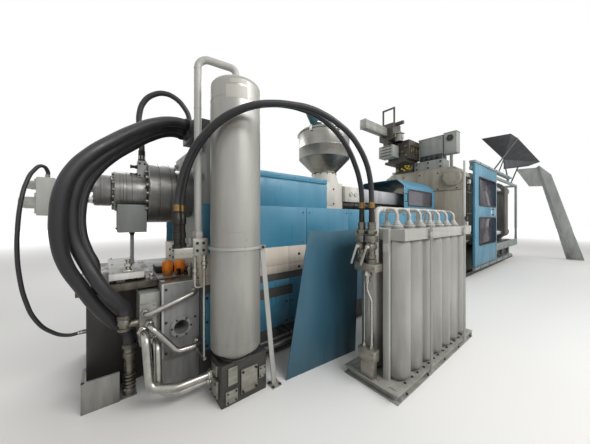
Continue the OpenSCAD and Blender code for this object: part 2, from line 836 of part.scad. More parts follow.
module bottles() {
    color(rack_grey) for (i = [0:bottles_a_row - 1], y = [row_front_y, row_back_y])
        translate([bottle_x(i), y, rack_base_h]) bottle();
}

// Collecting pipe over the bottles with a bent branch down to each neck
module bottle_header() {
    color(bright) union() {
        x_rod(tray_x0 + 10, bottle_x(bottles_a_row - 1) + 40, 27, header_y, header_z);
        pipe_run([[tray_x0 + 60, header_y, header_z], [-5325, header_y, header_z],
            [-5325, header_y, 1100]], 18, 40, 5);
        for (i = [0:bottles_a_row - 1], y = [row_front_y, row_back_y])
            pipe_run([[bottle_x(i), header_y, header_z], [bottle_x(i), y, header_z],
                [bottle_x(i), y, neck_top_z]], 15, 90);
    }
}

// Two stacked shut-off valves on a common block, with the drain pipe to the foot block
module rack_valves() {
    color("#b5b6ad") union() {
        for (y = valve_ys) translate([valve_x, y, 0]) {
            translate([0, 0, 1130]) cylinder(h = 340, r = 30);
            translate([0, 0, 1400]) cylinder(h = 70, r = 36);
            translate([0, 0, 1362]) rotate([0, 0, 30]) cylinder(h = 38, r = 44, $fn = 6);
            translate([-42, -42, 1290]) cube([84, 84, 60]);
            translate([0, 0, 1180]) cylinder(h = 28, r = 40);
            translate([0, 0, 1100]) cylinder(h = 40, r = 42);
            x_rod(-50, 38, 34, 0, lever_z);
        }
        box([-5445, -1805, 1030], [-5300, -1585, 1100]);
        translate([valve_x, -1690, 985]) rotate([0, 0, 30]) cylinder(h = 45, r = 40, $fn = 6);
        translate([valve_x, -1690, 925]) cylinder(h = 60, r = 26);
        pipe_run([[valve_x, -1690, 925], [valve_x, -1690, 850], [valve_x, -1735, 760],
            [valve_x, -1735, 360]], 12, 50, 4);
        for (y = [-1735, -1660]) translate([valve_x, y, 330]) cylinder(h = 34, r = 24);
        box([-5438, -1790, 230], [-5350, -1620, 330]);
        box([-5425, -1770, rack_base_h], [-5360, -1640, 230]);
    }
}

// Handle of a ball valve, on a short stem
module valve_lever(y) {
    color("white") translate([0, y, lever_z]) rotate([20, 0, 0]) union() {
        x_rod(-5466, -5441, 15, 0, 0);
        box([-5474, -9, -175], [-5466, 9, 16]);
    }
}

module valve_lever_a() {
    valve_lever(valve_ys[0]);
}

module valve_lever_b() {
    valve_lever(valve_ys[1]);
}

// A guard sheet taken off the machine and stood beside its base
module loose_guard() {
    color(dark_blue) translate([-5960, -1200, 0]) rotate([0, 0, atan(-76 / 927)])
        rotate([90, 0, 0]) linear_extrude(height = 6)
            polygon([[0, 0], [930, 0], [990, 1375], [960, 1385], [560, 1368], [290, 1385], [262, 1370]]);
}

gas_a_route = [[-6830, -945, 1560], [-6830, -945, 1640], [-6825, -950, 1695], [-6805, -980, 1835],
    [-6775, -1030, 1955], [-6735, -1105, 2065], [-6680, -1195, 2155], [-6610, -1290, 2235],
    [-6520, -1370, 2295], [-6410, -1445, 2340], [-6285, -1505, 2365], [-6155, -1560, 2370],
    [-6030, -1605, 2365], [-5900, -1650, 2330], [-5775, -1680, 2280], [-5655, -1705, 2210],
    [-5555, -1720, 2120], [-5470, -1730, 2005], [-5420, -1735, 1880], [-5395, -1735, 1740],
    [-5390, -1735, 1600], [-5390, -1735, 1470]];
gas_b_route = [[-6780, -870, 1560], [-6780, -870, 1640], [-6775, -875, 1695], [-6760, -910, 1830],
    [-6735, -960, 1955], [-6695, -1030, 2070], [-6645, -1115, 2165], [-6580, -1210, 2245],
    [-6495, -1290, 2310], [-6390, -1365, 2360], [-6270, -1425, 2390], [-6140, -1475, 2400],
    [-6010, -1515, 2390], [-5880, -1550, 2360], [-5755, -1575, 2300], [-5645, -1595, 2220],
    [-5555, -1610, 2120], [-5480, -1620, 2000], [-5425, -1625, 1880], [-5395, -1630, 1740],
    [-5390, -1630, 1600], [-5390, -1630, 1470]];
drive_a_route = [[-6640, -540, 2410], [-6760, -540, 2410], [-6930, -590, 2340],
    [-7090, -660, 2220], [-7230, -730, 2090], [-7350, -780, 1965], [-7440, -800, 1840],
    [-7495, -805, 1700], [-7520, -785, 1530], [-7520, -745, 1350], [-7490, -690, 1180],
    [-7410, -630, 990], [-7310, -580, 790], [-7210, -530, 640], [-7125, -502, 530],
    [-7110, -500, 470], [-7110, -500, 400]];
drive_b_route = [[-6640, -425, 2385], [-6760, -425, 2385], [-6930, -475, 2305],
    [-7090, -545, 2180], [-7220, -605, 2055], [-7330, -655, 1930], [-7410, -680, 1810],
    [-7450, -685, 1680], [-7465, -670, 1520], [-7450, -655, 1350], [-7395, -660, 1200],
    [-7335, -675, 1070], [-7270, -675, 950], [-7200, -650, 850], [-7150, -620, 770],
    [-7150, -620, 690]];
drive_c_route = [[-6640, -320, 2360], [-6760, -320, 2360], [-6930, -340, 2275],
    [-7080, -380, 2150], [-7210, -415, 2030], [-7320, -440, 1890], [-7390, -455, 1740],
    [-7420, -465, 1570], [-7415, -475, 1390], [-7380, -488, 1250], [-7335, -495, 1130],
    [-7335, -495, 1040]];
u_route = [[-6976, -80, 2150], [-6976, -80, 2260], [-6995, -85, 2420], [-6998, -95, 2570],
    [-6960, -115, 2700], [-6880, -145, 2785], [-6780, -180, 2815], [-6680, -210, 2780],
    [-6605, -232, 2700], [-6560, -240, 2610], [-6560, -240, 2500]];
loop_route = [[-7660, -60, 1850], [-7660, -60, 1910], [-7685, -105, 1945], [-7728, -160, 1890],
    [-7760, -210, 1780], [-7780, -250, 1630], [-7790, -280, 1450], [-7790, -300, 1260],
    [-7775, -310, 1060], [-7745, -310, 880], [-7695, -300, 720], [-7620, -270, 600],
    [-7520, -250, 530], [-7425, -250, 530]];

module gas_hose_a() {
    hose(gas_a_route, gas_hose_r);
}

module gas_hose_b() {
    hose(gas_b_route, gas_hose_r);
}

module drive_hose_a() {
    hose(drive_a_route, drive_hose_r);
}

module drive_hose_b() {
    hose(drive_b_route, drive_hose_r);
}

module drive_hose_c() {
    hose(drive_c_route, 32);
}

module u_hose() {
    hose(u_route, 26);
}

module loop_hose() {
    hose(loop_route, 14);
}

clamp_base();
fixed_platen();
tie_bars();
tie_bar_nuts();
cylinder_platen();
clamp_cylinder();
guard_frame();
rear_guard();
hood();
chute();
platen_top_units();
picker_base();
picker_beam();
injection_base();
lower_panels();
base_ledge();
upper_guards();
injection_cover();
feed_housing();
hopper();
hopper_loader();
barrel();
heater_jackets();
cable_trays();
purge_guard();
injection_cylinder();
drive_end();
top_valve_block();
junction_box();
hose_manifold();
tray_plate();
orange_caps();
end_box();
tube_manifold();
bent_tubes();
drip_sheet();
hose_feet();
accumulator();
accumulator_leg();
accumulator_block();
gas_pipe();
gas_valve_block();
rack_frame();
bottles();
bottle_header();
rack_valves();
valve_lever_a();
valve_lever_b();
loose_guard();
moving_platen();
clamp_ram();
operator_door();
door_windows();
gas_hose_a();
gas_hose_b();
drive_hose_a();
drive_hose_b();
drive_hose_c();
u_hose();
loop_hose();
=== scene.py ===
import json
import math

import bpy
from mathutils import Matrix, Vector

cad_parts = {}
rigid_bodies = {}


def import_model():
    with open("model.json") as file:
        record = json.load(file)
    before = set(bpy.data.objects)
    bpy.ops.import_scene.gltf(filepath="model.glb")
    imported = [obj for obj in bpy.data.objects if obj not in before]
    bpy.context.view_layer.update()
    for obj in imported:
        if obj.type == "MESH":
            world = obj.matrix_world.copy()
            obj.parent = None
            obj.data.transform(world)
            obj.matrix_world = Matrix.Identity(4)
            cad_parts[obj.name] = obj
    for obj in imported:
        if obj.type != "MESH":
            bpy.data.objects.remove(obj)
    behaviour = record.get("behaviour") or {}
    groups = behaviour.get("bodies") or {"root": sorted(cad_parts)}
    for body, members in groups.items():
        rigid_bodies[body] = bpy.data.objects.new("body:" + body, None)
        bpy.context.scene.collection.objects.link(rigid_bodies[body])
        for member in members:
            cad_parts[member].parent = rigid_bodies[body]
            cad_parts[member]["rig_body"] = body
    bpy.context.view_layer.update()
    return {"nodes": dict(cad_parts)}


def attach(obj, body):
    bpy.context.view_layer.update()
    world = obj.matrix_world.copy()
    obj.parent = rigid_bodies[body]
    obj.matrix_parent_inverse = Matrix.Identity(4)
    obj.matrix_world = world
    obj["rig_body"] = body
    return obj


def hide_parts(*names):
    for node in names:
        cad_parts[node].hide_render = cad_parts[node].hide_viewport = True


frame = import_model()


# Viewing place. Eye height beside the injection end, level along the machine, with a very
# wide lens, so that the near hoses and pipes loom large.
bpy.ops.object.camera_add(location=(-7.28, -3.0, 1.5), rotation=(math.radians(90), 0,
                                                                 math.radians(51.5 - 90)))
camera = bpy.context.object
camera.data.sensor_width = 36
camera.data.lens = 36 * 240 / 590
camera.data.shift_y = -3 / 590
camera.data.clip_start = 0.05
bpy.context.scene.camera = camera
bpy.context.scene.view_settings.view_transform = "Standard"


# Workshop floor. A smooth pale screed under soft overhead light, kept plain so that
# only the machine shows, with its shadow on it.
def tint(code):
    """An sRGB hex colour as linear red, green, blue and alpha."""
    parts = [int(code[i:i + 2], 16) / 255 for i in (1, 3, 5)]
    return tuple(c / 12.92 if c <= 0.04045 else ((c + 0.055) / 1.055) ** 2.4 for c in parts) + (1.0,)


def add(tree, kind, settings=None, inputs=None):
    """Adds one node, sets its settings and colour stops, and fills or links its inputs."""
    node = tree.nodes.new("ShaderNode" + kind)
    for key, value in (settings or {}).items():
        if key == "stops":
            marks = node.color_ramp.elements
            while len(marks) < len(value):
                marks.new(0.5)
            for mark, (place, shade) in zip(marks, value):
                mark.position = place
                mark.color = tint(shade) if isinstance(shade, str) else (shade, shade, shade, 1)
        else:
            setattr(node, key, value)
    for key, value in (inputs or {}).items():
        if isinstance(value, bpy.types.NodeSocket):
            tree.links.new(value, node.inputs[key])
        else:
            node.inputs[key].default_value = value
    return node


def new_finish(name):
    """An empty material with its shader, and the piece's own coordinates in metres."""
    material = bpy.data.materials.new(name)
    material.use_nodes = True
    tree = material.node_tree
    shader = tree.nodes["Principled BSDF"]
    place = add(tree, "TexCoord").outputs["Object"]
    return material, tree, shader, place


screed, tree, shader, place = new_finish("pale_screed")
shader.inputs["Base Color"].default_value = tint("#f4f3f0")
shader.inputs["Roughness"].default_value = 0.7
# Past 9 m from the machine the screed whitens into the backdrop, for the camera only.
centred = add(tree, "VectorMath", {"operation": "ADD"}, {0: place, 1: (0.7, 0.8, 0.0)})
away = add(tree, "VectorMath", {"operation": "LENGTH"}, {0: centred.outputs[0]})
fade = add(tree, "MapRange", {"interpolation_type": "SMOOTHSTEP"},
           {"Value": away.outputs["Value"], "From Min": 9.0, "From Max": 30.0})
lift = add(tree, "Math", {"operation": "MULTIPLY"}, {0: fade.outputs[0],
                                                     1: add(tree, "LightPath").outputs["Is Camera Ray"]})
shader.inputs["Emission Color"].default_value = tint("#ffffff")
tree.links.new(lift.outputs[0], shader.inputs["Emission Strength"])
bpy.ops.mesh.primitive_plane_add(size=90, location=(0, 0, 0))
ground = bpy.context.object
ground.name = "workshop_floor"
ground.data.materials.append(screed)

world = bpy.data.worlds.new("soft_hall_light")
bpy.context.scene.world = world
world.use_nodes = True
sky = world.node_tree
sky.nodes.clear()
ray = add(sky, "LightPath")
seen = add(sky, "Math", {"operation": "MAXIMUM"}, {0: ray.outputs["Is Camera Ray"],
                                                   1: ray.outputs["Is Glossy Ray"]})
seen = add(sky, "Math", {"operation": "MAXIMUM"}, {0: seen.outputs[0], 1: ray.outputs["Is Transmission Ray"]})
level = add(sky, "MapRange", None, {"Value": seen.outputs[0], "To Min": 0.42, "To Max": 1.0})
hall = add(sky, "Background", None, {"Color": (1, 1, 1, 1), "Strength": level.outputs["Result"]})
add(sky, "OutputWorld", None, {"Surface": hall.outputs[0]})


def soft_lamp(name, spot, aim, size, watts):
    """A wide soft lamp that hangs at a spot and faces a point."""
    bpy.ops.object.light_add(type="AREA", location=spot)
    lamp = bpy.context.object
    lamp.name = name
    lamp.rotation_euler = (Vector(aim) - Vector(spot)).to_track_quat("-Z", "Y").to_euler()
    lamp.data.shape = "RECTANGLE"
    lamp.data.size, lamp.data.size_y = size
    lamp.data.energy = watts


soft_lamp("roof_light_near", (-4.9, -6.4, 5.4), (-5.9, -0.8, 1.2), (4.5, 1.6), 270)
soft_lamp("roof_light_far", (3.0, -7.0, 6.5), (1.5, 0.0, 1.5), (9.0, 2.5), 330)
soft_lamp("roof_light_behind", (-2.0, 6.5, 7.0), (-1.0, 0.0, 1.5), (10.0, 2.5), 380)


# Hoses. Wire-braided rubber pressure hose, made by the metre and cut to length: two large
# gas hoses from the accumulator's block to the bottle rack, three drive hoses from the top
# manifold down to the rear deck, a short U over the manifold and a thin loop at the back.
def clear():
    """Leaves nothing selected, in object mode."""
    if bpy.context.mode != "OBJECT":
        bpy.ops.object.mode_set(mode="OBJECT")
    bpy.ops.object.select_all(action="DESELECT")


def pick(part):
    """Makes one part the only selected and the active one."""
    clear()
    part.select_set(True)
    bpy.context.view_layer.objects.active = part
    return part


def new_part(name, data):
    """A new part from a mesh or curve, picked."""
    part = bpy.data.objects.new(name, data)
    bpy.context.scene.collection.objects.link(part)
    return pick(part)


def edit_all():
    """Opens the picked part for editing, with all of it selected."""
    bpy.ops.object.mode_set(mode="EDIT")
    bpy.ops.mesh.select_all(action="SELECT")


def shade(part, angle=40):
    """Smooth shading over curved faces, sharp at edges."""
    bpy.ops.object.shade_smooth_by_angle(angle=math.radians(angle))
    return part


def noise(tree, where, grain, detail, rough=0.5, twist=0.0):
    """Cloudy patches about grain mm across."""
    return add(tree, "TexNoise", None, {"Vector": where, "Scale": 1000 / grain, "Detail": detail,
                                        "Roughness": rough, "Distortion": twist}).outputs["Fac"]


def spread(tree, value, low, high, at_low=0.0, at_high=1.0):
    """A value stretched so that low to high becomes at_low to at_high."""
    return add(tree, "MapRange", None, {"Value": value, "From Min": low, "From Max": high, "To Min": at_low,
                                        "To Max": at_high}).outputs["Result"]


def ramp(tree, value, *stops):
    """A colour for each value, between the stops."""
    return add(tree, "ValToRGB", {"stops": stops}, {0: value}).outputs["Color"]


def blend(tree, share, under, over):
    """One colour laid over another by its share."""
    return add(tree, "Mix", {"data_type": "RGBA"}, {"Factor": share, 6: under, 7: over}).outputs[2]


def dress(tree, shader, colour, gloss, height=None, strength=0.1, distance=0.001):
    """Gives a shader its colour, its roughness and the relief of its surface."""
    given = {"Base Color": colour, "Roughness": gloss}
    if height is not None:
        given["Normal"] = add(tree, "Bump", None, {"Height": height, "Strength": strength,
                                                   "Distance": distance}).outputs[0]
    for key, value in given.items():
        if isinstance(value, float):
            shader.inputs[key].default_value = value
        else:
            tree.links.new(value, shader.inputs[key])


hose_rubber, tree, shader, place = new_finish("extruded_hose_rubber")
# Matt black rubber with a cloth-wrap mark every 6 mm, and grey dust that lies on top.
wrap = noise(tree, place, 6, 2.0)
smudge = noise(tree, place, 140, 5.0, 0.62)
facing = add(tree, "SeparateXYZ", None, {0: add(tree, "NewGeometry").outputs["Normal"]})
upward = spread(tree, facing.outputs["Z"], -0.1, 1.0)
dust = add(tree, "Math", {"operation": "MULTIPLY"}, {0: upward, 1: smudge})
colour = ramp(tree, dust.outputs[0], (0.0, "#222224"), (0.3, "#303032"), (0.62, "#5d5c59"))
gloss = spread(tree, smudge, 0.3, 0.7, 0.34, 0.62)
dress(tree, shader, colour, gloss, wrap, 0.25, 0.0008)


# Ways that parts point: onward is towards the clamp end, near is the operator's side.
UP, DOWN = (0, 0, 1), (0, 0, -1)
ONWARD, BACK = (1, 0, 0), (-1, 0, 0)
NEAR, FAR = (0, -1, 0), (0, 1, 0)


def turned(outline, foot, along=UP, sides=32):
    """A round part, spun from its outline of (height, radius) points, stood on foot."""
    mesh = bpy.data.meshes.new("turned")
    mesh.from_pydata([(r, 0, h) for h, r in outline], [(i, i + 1) for i in range(len(outline) - 1)], [])
    part = new_part("turned", mesh)
    edit_all()
    bpy.ops.mesh.spin(steps=sides, angle=2 * math.pi, center=(0, 0, 0), axis=UP)
    bpy.ops.mesh.select_all(action="SELECT")
    bpy.ops.mesh.remove_doubles(threshold=0.00002)
    bpy.ops.mesh.normals_make_consistent(inside=False)
    bpy.ops.object.mode_set(mode="OBJECT")
    stand = Vector(along).normalized().to_track_quat("Z", "Y").to_matrix().to_4x4()
    part.data.transform(Matrix.Translation(foot) @ stand)
    return shade(part)


def joined(parts):
    """Several parts as one."""
    clear()
    for part in parts:
        part.select_set(True)
    bpy.context.view_layer.objects.active = parts[0]
    if len(parts) > 1:
        bpy.ops.object.join()
    return bpy.context.view_layer.objects.active


def fitted(name, parts, finish, body="machine", stands_for=()):
    """Joins the parts into one named piece with its finish, on the body that carries it."""
    piece = joined(parts)
    piece.name = piece.data.name = name
    piece.data.materials.clear()
    piece.data.materials.append(finish)
    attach(piece, body)
    if stands_for:
        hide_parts(*stands_for)
    return piece


def turned_steel(name, light, dark, gloss, film=0.4, along="X", metal=0.85, marks=0.12):
    """Lathe-turned steel under an oil film: fine turning marks about 5 mm apart round the
    axis, brown oil stains in patches of 120 mm, and duller bands between them."""
    material, tree, shader, place = new_finish(name)
    part = add(tree, "SeparateXYZ", None, {0: place})
    lathe = add(tree, "CombineXYZ", None, {0: part.outputs[along]})
    mark = noise(tree, lathe.outputs[0], 10, 3.0)
    stain = noise(tree, place, 120, 6.0, 0.6)
    tone = ramp(tree, mark, (0.3, dark), (0.62, light))
    oily = spread(tree, stain, 0.42, 0.72, 0.0, film)
    filmed = blend(tree, oily, tone, tint("#4b4338"))
    shader.inputs["Metallic"].default_value = metal
    sheen = spread(tree, stain, 0.3, 0.7, gloss - 0.08, gloss + 0.14)
    dress(tree, shader, filmed, sheen, mark, marks, 0.001)
    return material


crimped_brass = turned_steel("crimped_brass", "#a98a58", "#86693f", 0.3, 0.4, "Z", 1.0)
black_nipple = turned_steel("blackened_nipple", "#34322f", "#242220", 0.4, 0.3, "Z", 0.7)
plated = turned_steel("zinc_plated_fitting", "#bab8b0", "#aeaca4", 0.26, 0.15, "Z", 1.0, 0.02)
oily_zinc = turned_steel("oily_zinc_fitting", "#88857b", "#6d6a61", 0.34, 0.6, "Z", 0.9, 0.04)


def ferrule(foot, along, radius, long, up=0.0):
    """A crimped sleeve round a hose, up along it from its end, with the nipple under it."""
    along = Vector(along)
    ring = [(0, radius - 0.002), (0, radius * 1.12)]
    for k in range(4):
        ring += [(long * (0.1 + 0.2 * k), radius * 1.18), (long * (0.22 + 0.2 * k), radius * 1.18),
                 (long * (0.25 + 0.2 * k), radius * 1.12)]
    ring += [(long, radius * 1.14), (long, radius - 0.002), (0, radius - 0.002)]
    sleeve = turned(ring, Vector(foot) + along * up, along, 28)
    if not up:
        return sleeve, None
    stem = turned([(0, radius - 0.002), (0, radius * 1.1), (up * 0.45, radius * 1.1),
                   (up * 0.5, radius * 1.04), (up, radius * 1.04), (up, radius - 0.002), (0, radius - 0.002)],
                  foot, along, 28)
    return sleeve, stem


def free_hose(name, radius, first, last, crimped, points):
    """One hose on a smooth curve through its points, with a ferrule crimped on each end,
    given as its height up the hose and its finish."""
    clear()
    bpy.ops.curve.primitive_bezier_curve_add(location=(0, 0, 0))
    hose = bpy.context.object
    hose.name = name
    line = hose.data.splines[0]
    line.bezier_points.add(len(points) - 2)
    for knot, spot in zip(line.bezier_points, points):
        knot.co = spot
        knot.handle_left_type = knot.handle_right_type = "AUTO"
    hose.data.bevel_depth = radius
    hose.data.bevel_resolution = 7
    hose.data.resolution_u = 10
    hose.data.use_fill_caps = True
    hose.data.materials.append(hose_rubber)
    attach(hose, "machine")
    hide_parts(name)
    worn, stems = [], []
    for end, foot, after, (up, finish) in (("first", points[0], points[1], first),
                                           ("last", points[-1], points[-2], last)):
        crimp, stem = ferrule(foot, (Vector(after) - Vector(foot)).normalized(), radius, crimped, up)
        worn.append(fitted(name + "_ferrule_" + end, [crimp], finish))
        stems += [stem] if stem else []
    if stems:
        worn.append(fitted(name + "_nipples", stems, black_nipple))


free_hose("gas_hose_a", 0.023, (0.0, crimped_brass), (0.13, crimped_brass), 0.053,
          [(-6.83, -0.945, 1.56), (-6.83, -0.945, 1.64), (-6.825, -0.95, 1.695), (-6.805, -0.98, 1.835),
           (-6.775, -1.03, 1.955), (-6.735, -1.105, 2.065), (-6.68, -1.195, 2.155), (-6.61, -1.29, 2.235),
           (-6.52, -1.37, 2.295), (-6.41, -1.445, 2.34), (-6.285, -1.505, 2.365), (-6.155, -1.56, 2.37),
           (-6.03, -1.605, 2.365), (-5.9, -1.65, 2.33), (-5.775, -1.68, 2.28), (-5.655, -1.705, 2.21),
           (-5.555, -1.72, 2.12), (-5.47, -1.73, 2.005), (-5.42, -1.735, 1.88), (-5.395, -1.735, 1.74),
           (-5.39, -1.735, 1.6), (-5.39, -1.735, 1.47)])
free_hose("gas_hose_b", 0.023, (0.0, crimped_brass), (0.13, crimped_brass), 0.053,
          [(-6.78, -0.87, 1.56), (-6.78, -0.87, 1.64), (-6.775, -0.875, 1.695), (-6.76, -0.91, 1.83),
           (-6.735, -0.96, 1.955), (-6.695, -1.03, 2.07), (-6.645, -1.115, 2.165), (-6.58, -1.21, 2.245),
           (-6.495, -1.29, 2.31), (-6.39, -1.365, 2.36), (-6.27, -1.425, 2.39), (-6.14, -1.475, 2.4),
           (-6.01, -1.515, 2.39), (-5.88, -1.55, 2.36), (-5.755, -1.575, 2.3), (-5.645, -1.595, 2.22),
           (-5.555, -1.61, 2.12), (-5.48, -1.62, 2), (-5.425, -1.625, 1.88), (-5.395, -1.63, 1.74),
           (-5.39, -1.63, 1.6), (-5.39, -1.63, 1.47)])
free_hose("drive_hose_a", 0.045, (0.0, black_nipple), (0.0, oily_zinc), 0.036,
          [(-6.64, -0.54, 2.41), (-6.76, -0.54, 2.41), (-6.93, -0.59, 2.34), (-7.09, -0.66, 2.22),
           (-7.23, -0.73, 2.09), (-7.35, -0.78, 1.965), (-7.44, -0.8, 1.84), (-7.495, -0.805, 1.7),
           (-7.52, -0.785, 1.53), (-7.52, -0.745, 1.35), (-7.49, -0.69, 1.18), (-7.41, -0.63, 0.99),
           (-7.31, -0.58, 0.79), (-7.21, -0.53, 0.64), (-7.125, -0.502, 0.53), (-7.11, -0.5, 0.47),
           (-7.11, -0.5, 0.4)])
free_hose("drive_hose_b", 0.045, (0.0, black_nipple), (0.0, oily_zinc), 0.036,
          [(-6.64, -0.425, 2.385), (-6.76, -0.425, 2.385), (-6.93, -0.475, 2.305), (-7.09, -0.545, 2.18),
           (-7.22, -0.605, 2.055), (-7.33, -0.655, 1.93), (-7.41, -0.68, 1.81), (-7.45, -0.685, 1.68),
           (-7.465, -0.67, 1.52), (-7.45, -0.655, 1.35), (-7.395, -0.66, 1.2), (-7.335, -0.675, 1.07),
           (-7.27, -0.675, 0.95), (-7.2, -0.65, 0.85), (-7.15, -0.62, 0.77), (-7.15, -0.62, 0.69)])
free_hose("drive_hose_c", 0.032, (0.0, black_nipple), (0.0, oily_zinc), 0.036,
          [(-6.64, -0.32, 2.36), (-6.76, -0.32, 2.36), (-6.93, -0.34, 2.275), (-7.08, -0.38, 2.15),
           (-7.21, -0.415, 2.03), (-7.32, -0.44, 1.89), (-7.39, -0.455, 1.74), (-7.42, -0.465, 1.57),
           (-7.415, -0.475, 1.39), (-7.38, -0.488, 1.25), (-7.335, -0.495, 1.13), (-7.335, -0.495, 1.04)])
free_hose("u_hose", 0.026, (0.0, black_nipple), (0.0, plated), 0.053,
          [(-6.976, -0.08, 2.15), (-6.976, -0.08, 2.26), (-6.995, -0.085, 2.42), (-6.998, -0.095, 2.57),
           (-6.96, -0.115, 2.7), (-6.88, -0.145, 2.785), (-6.78, -0.18, 2.815), (-6.68, -0.21, 2.78),
           (-6.605, -0.232, 2.7), (-6.56, -0.24, 2.61), (-6.56, -0.24, 2.5)])
free_hose("loop_hose", 0.014, (0.0, plated), (0.0, plated), 0.03,
          [(-7.66, -0.06, 1.85), (-7.66, -0.06, 1.91), (-7.685, -0.105, 1.945), (-7.728, -0.16, 1.89),
           (-7.76, -0.21, 1.78), (-7.78, -0.25, 1.63), (-7.79, -0.28, 1.45), (-7.79, -0.3, 1.26),
           (-7.775, -0.31, 1.06), (-7.745, -0.31, 0.88), (-7.695, -0.3, 0.72), (-7.62, -0.27, 0.6),
           (-7.52, -0.25, 0.53), (-7.425, -0.25, 0.53)])


# Clamp bed. A long fabricated steel box on foot rails, with ribbed bays along its sides
# and two ground ways on top, bolted to the shop floor and dark with years of oil.
def machine_paint(name, coat, faded, grime, low=0.0, high=0.9, wear=0.35, gloss=0.42, runs=0.5):
    """Two-pack machine enamel. It is patchy over about 900 mm, with greasy runs down it,
    dirt that thickens towards the floor, and bare spots where tools hit."""
    material, tree, shader, place = new_finish(name)
    patch = noise(tree, place, 900, 4.0)
    body = ramp(tree, patch, (0.36, coat), (0.66, faded))
    long_way = add(tree, "Mapping", None, {"Vector": place, "Scale": (1000 / 130, 1000 / 130, 1000 / 900)})
    run = noise(tree, long_way.outputs[0], 1000, 6.0, 0.6)
    part = add(tree, "SeparateXYZ", None, {0: place})
    foot = spread(tree, part.outputs["Z"], low, high, 0.75, 0.0)
    heavy = spread(tree, run, 0.45, 0.75, 0.0, runs)
    soil = add(tree, "Math", {"operation": "MULTIPLY_ADD", "use_clamp": True}, {0: foot, 1: run, 2: heavy})
    dirty = blend(tree, soil.outputs[0], body, tint(grime))
    knock = noise(tree, place, 28, 5.0, 0.7)
    spot = spread(tree, knock, 0.7, 0.73, 0.0, wear)
    bare = blend(tree, spot, dirty, tint("#4a4540"))
    sheen = spread(tree, run, 0.3, 0.7, gloss - 0.1, gloss + 0.18)
    skin = noise(tree, place, 7, 2.0)
    lumps = add(tree, "Math", {"operation": "SUBTRACT"}, {0: skin, 1: spot})
    dress(tree, shader, bare, sheen, lumps.outputs[0], 0.12, 0.0015)
    return material


def break_edges(part, width, steps=2, angle=34):
    """Rounds a part's sharp edges and shades its curved faces smoothly."""
    edge = pick(part).modifiers.new("edge", "BEVEL")
    edge.width, edge.segments = width, steps
    edge.limit_method, edge.angle_limit = "ANGLE", math.radians(angle)
    edge.use_clamp_overlap = True
    bpy.ops.object.modifier_apply(modifier="edge")
    return shade(part)


def softened(node, width=0.004, steps=2):
    """The solid of a node with its edges broken, as a part of a finished piece."""
    shape = frame["nodes"][node].data.copy()
    shape.materials.clear()
    part = new_part(node + "_part", shape)
    edit_all()
    bpy.ops.mesh.customdata_custom_splitnormals_clear()
    bpy.ops.mesh.remove_doubles(threshold=0.00002)
    bpy.ops.mesh.dissolve_limited(angle_limit=math.radians(0.5))
    bpy.ops.object.mode_set(mode="OBJECT")
    return break_edges(part, width, steps) if width else part


def block(low, high, edge=0.003):
    """A sawn and deburred block between two corners."""
    clear()
    low, high = Vector(low), Vector(high)
    bpy.ops.mesh.primitive_cube_add(size=1, location=(low + high) / 2, scale=high - low)
    bpy.ops.object.transform_apply(location=True, rotation=True, scale=True)
    part = bpy.context.object
    return break_edges(part, edge) if edge else part


def rod(start, end, radius, sides=20):
    """A round bar between two points."""
    way = Vector(end) - Vector(start)
    return turned([(0, 0), (0, radius), (way.length, radius), (way.length, 0)], start, way, sides)


shift = Matrix.Translation


def copies(part, places):
    """A copy of a part at each matrix, each with its own mesh. The pattern is used up."""
    made = []
    for place in places:
        twin = part.copy()
        twin.data = part.data.copy()
        twin.data.transform(place)
        bpy.context.scene.collection.objects.link(twin)
        made.append(twin)
    bpy.data.objects.remove(part)
    return made


def bolts(spots, along, size, sides=6):
    """Bolt heads with washers, all pointing along, size across the flats."""
    head = turned([(0, 0), (0, size * 0.72), (size * 0.1, size * 0.72), (size * 0.1, 0.55 * size)], (0, 0, 0),
                  along, 14)
    cap = turned([(size * 0.08, 0), (size * 0.08, size * 0.57), (size * 0.6, size * 0.57),
                  (size * 0.68, size * 0.46), (size * 0.68, 0)], (0, 0, 0), along, sides)
    pattern = joined([head, cap])
    return copies(pattern, [shift(spot) for spot in spots])


bed_enamel = machine_paint("dark_bed_enamel", "#3b3d3f", "#4a4b4a", "#1f1c19", 0.0, 0.7, 0.3, 0.5)
fitted("clamp_bed", [softened("clamp_base", 0.005)], bed_enamel, stands_for=["clamp_base"])


# Fixed platen. A cast steel block with chamfered corners, tapped on its mould face for the
# mould and recessed behind for the nozzle. Painted a warm grey that has gone dull.
AXIS = 1.78  # height of the machine's axis over the floor


def ring_of(count, radius, x, y=0.0, z=AXIS, start=0.0):
    """Places round an axis that runs along X."""
    return [(x, y + radius * math.cos(start + 2 * math.pi * i / count),
             z + radius * math.sin(start + 2 * math.pi * i / count)) for i in range(count)]


def socket_bolts(spots, along, size):
    """Cap screws: a round head with a hexagon sunk in it."""
    head = turned([(0, 0), (0, size * 0.5), (size * 0.5, size * 0.5), (size * 0.56, size * 0.44),
                   (size * 0.56, size * 0.28), (size * 0.3, size * 0.26), (size * 0.3, 0)], (0, 0, 0), along,
                  12)
    return copies(head, [shift(spot) for spot in spots])


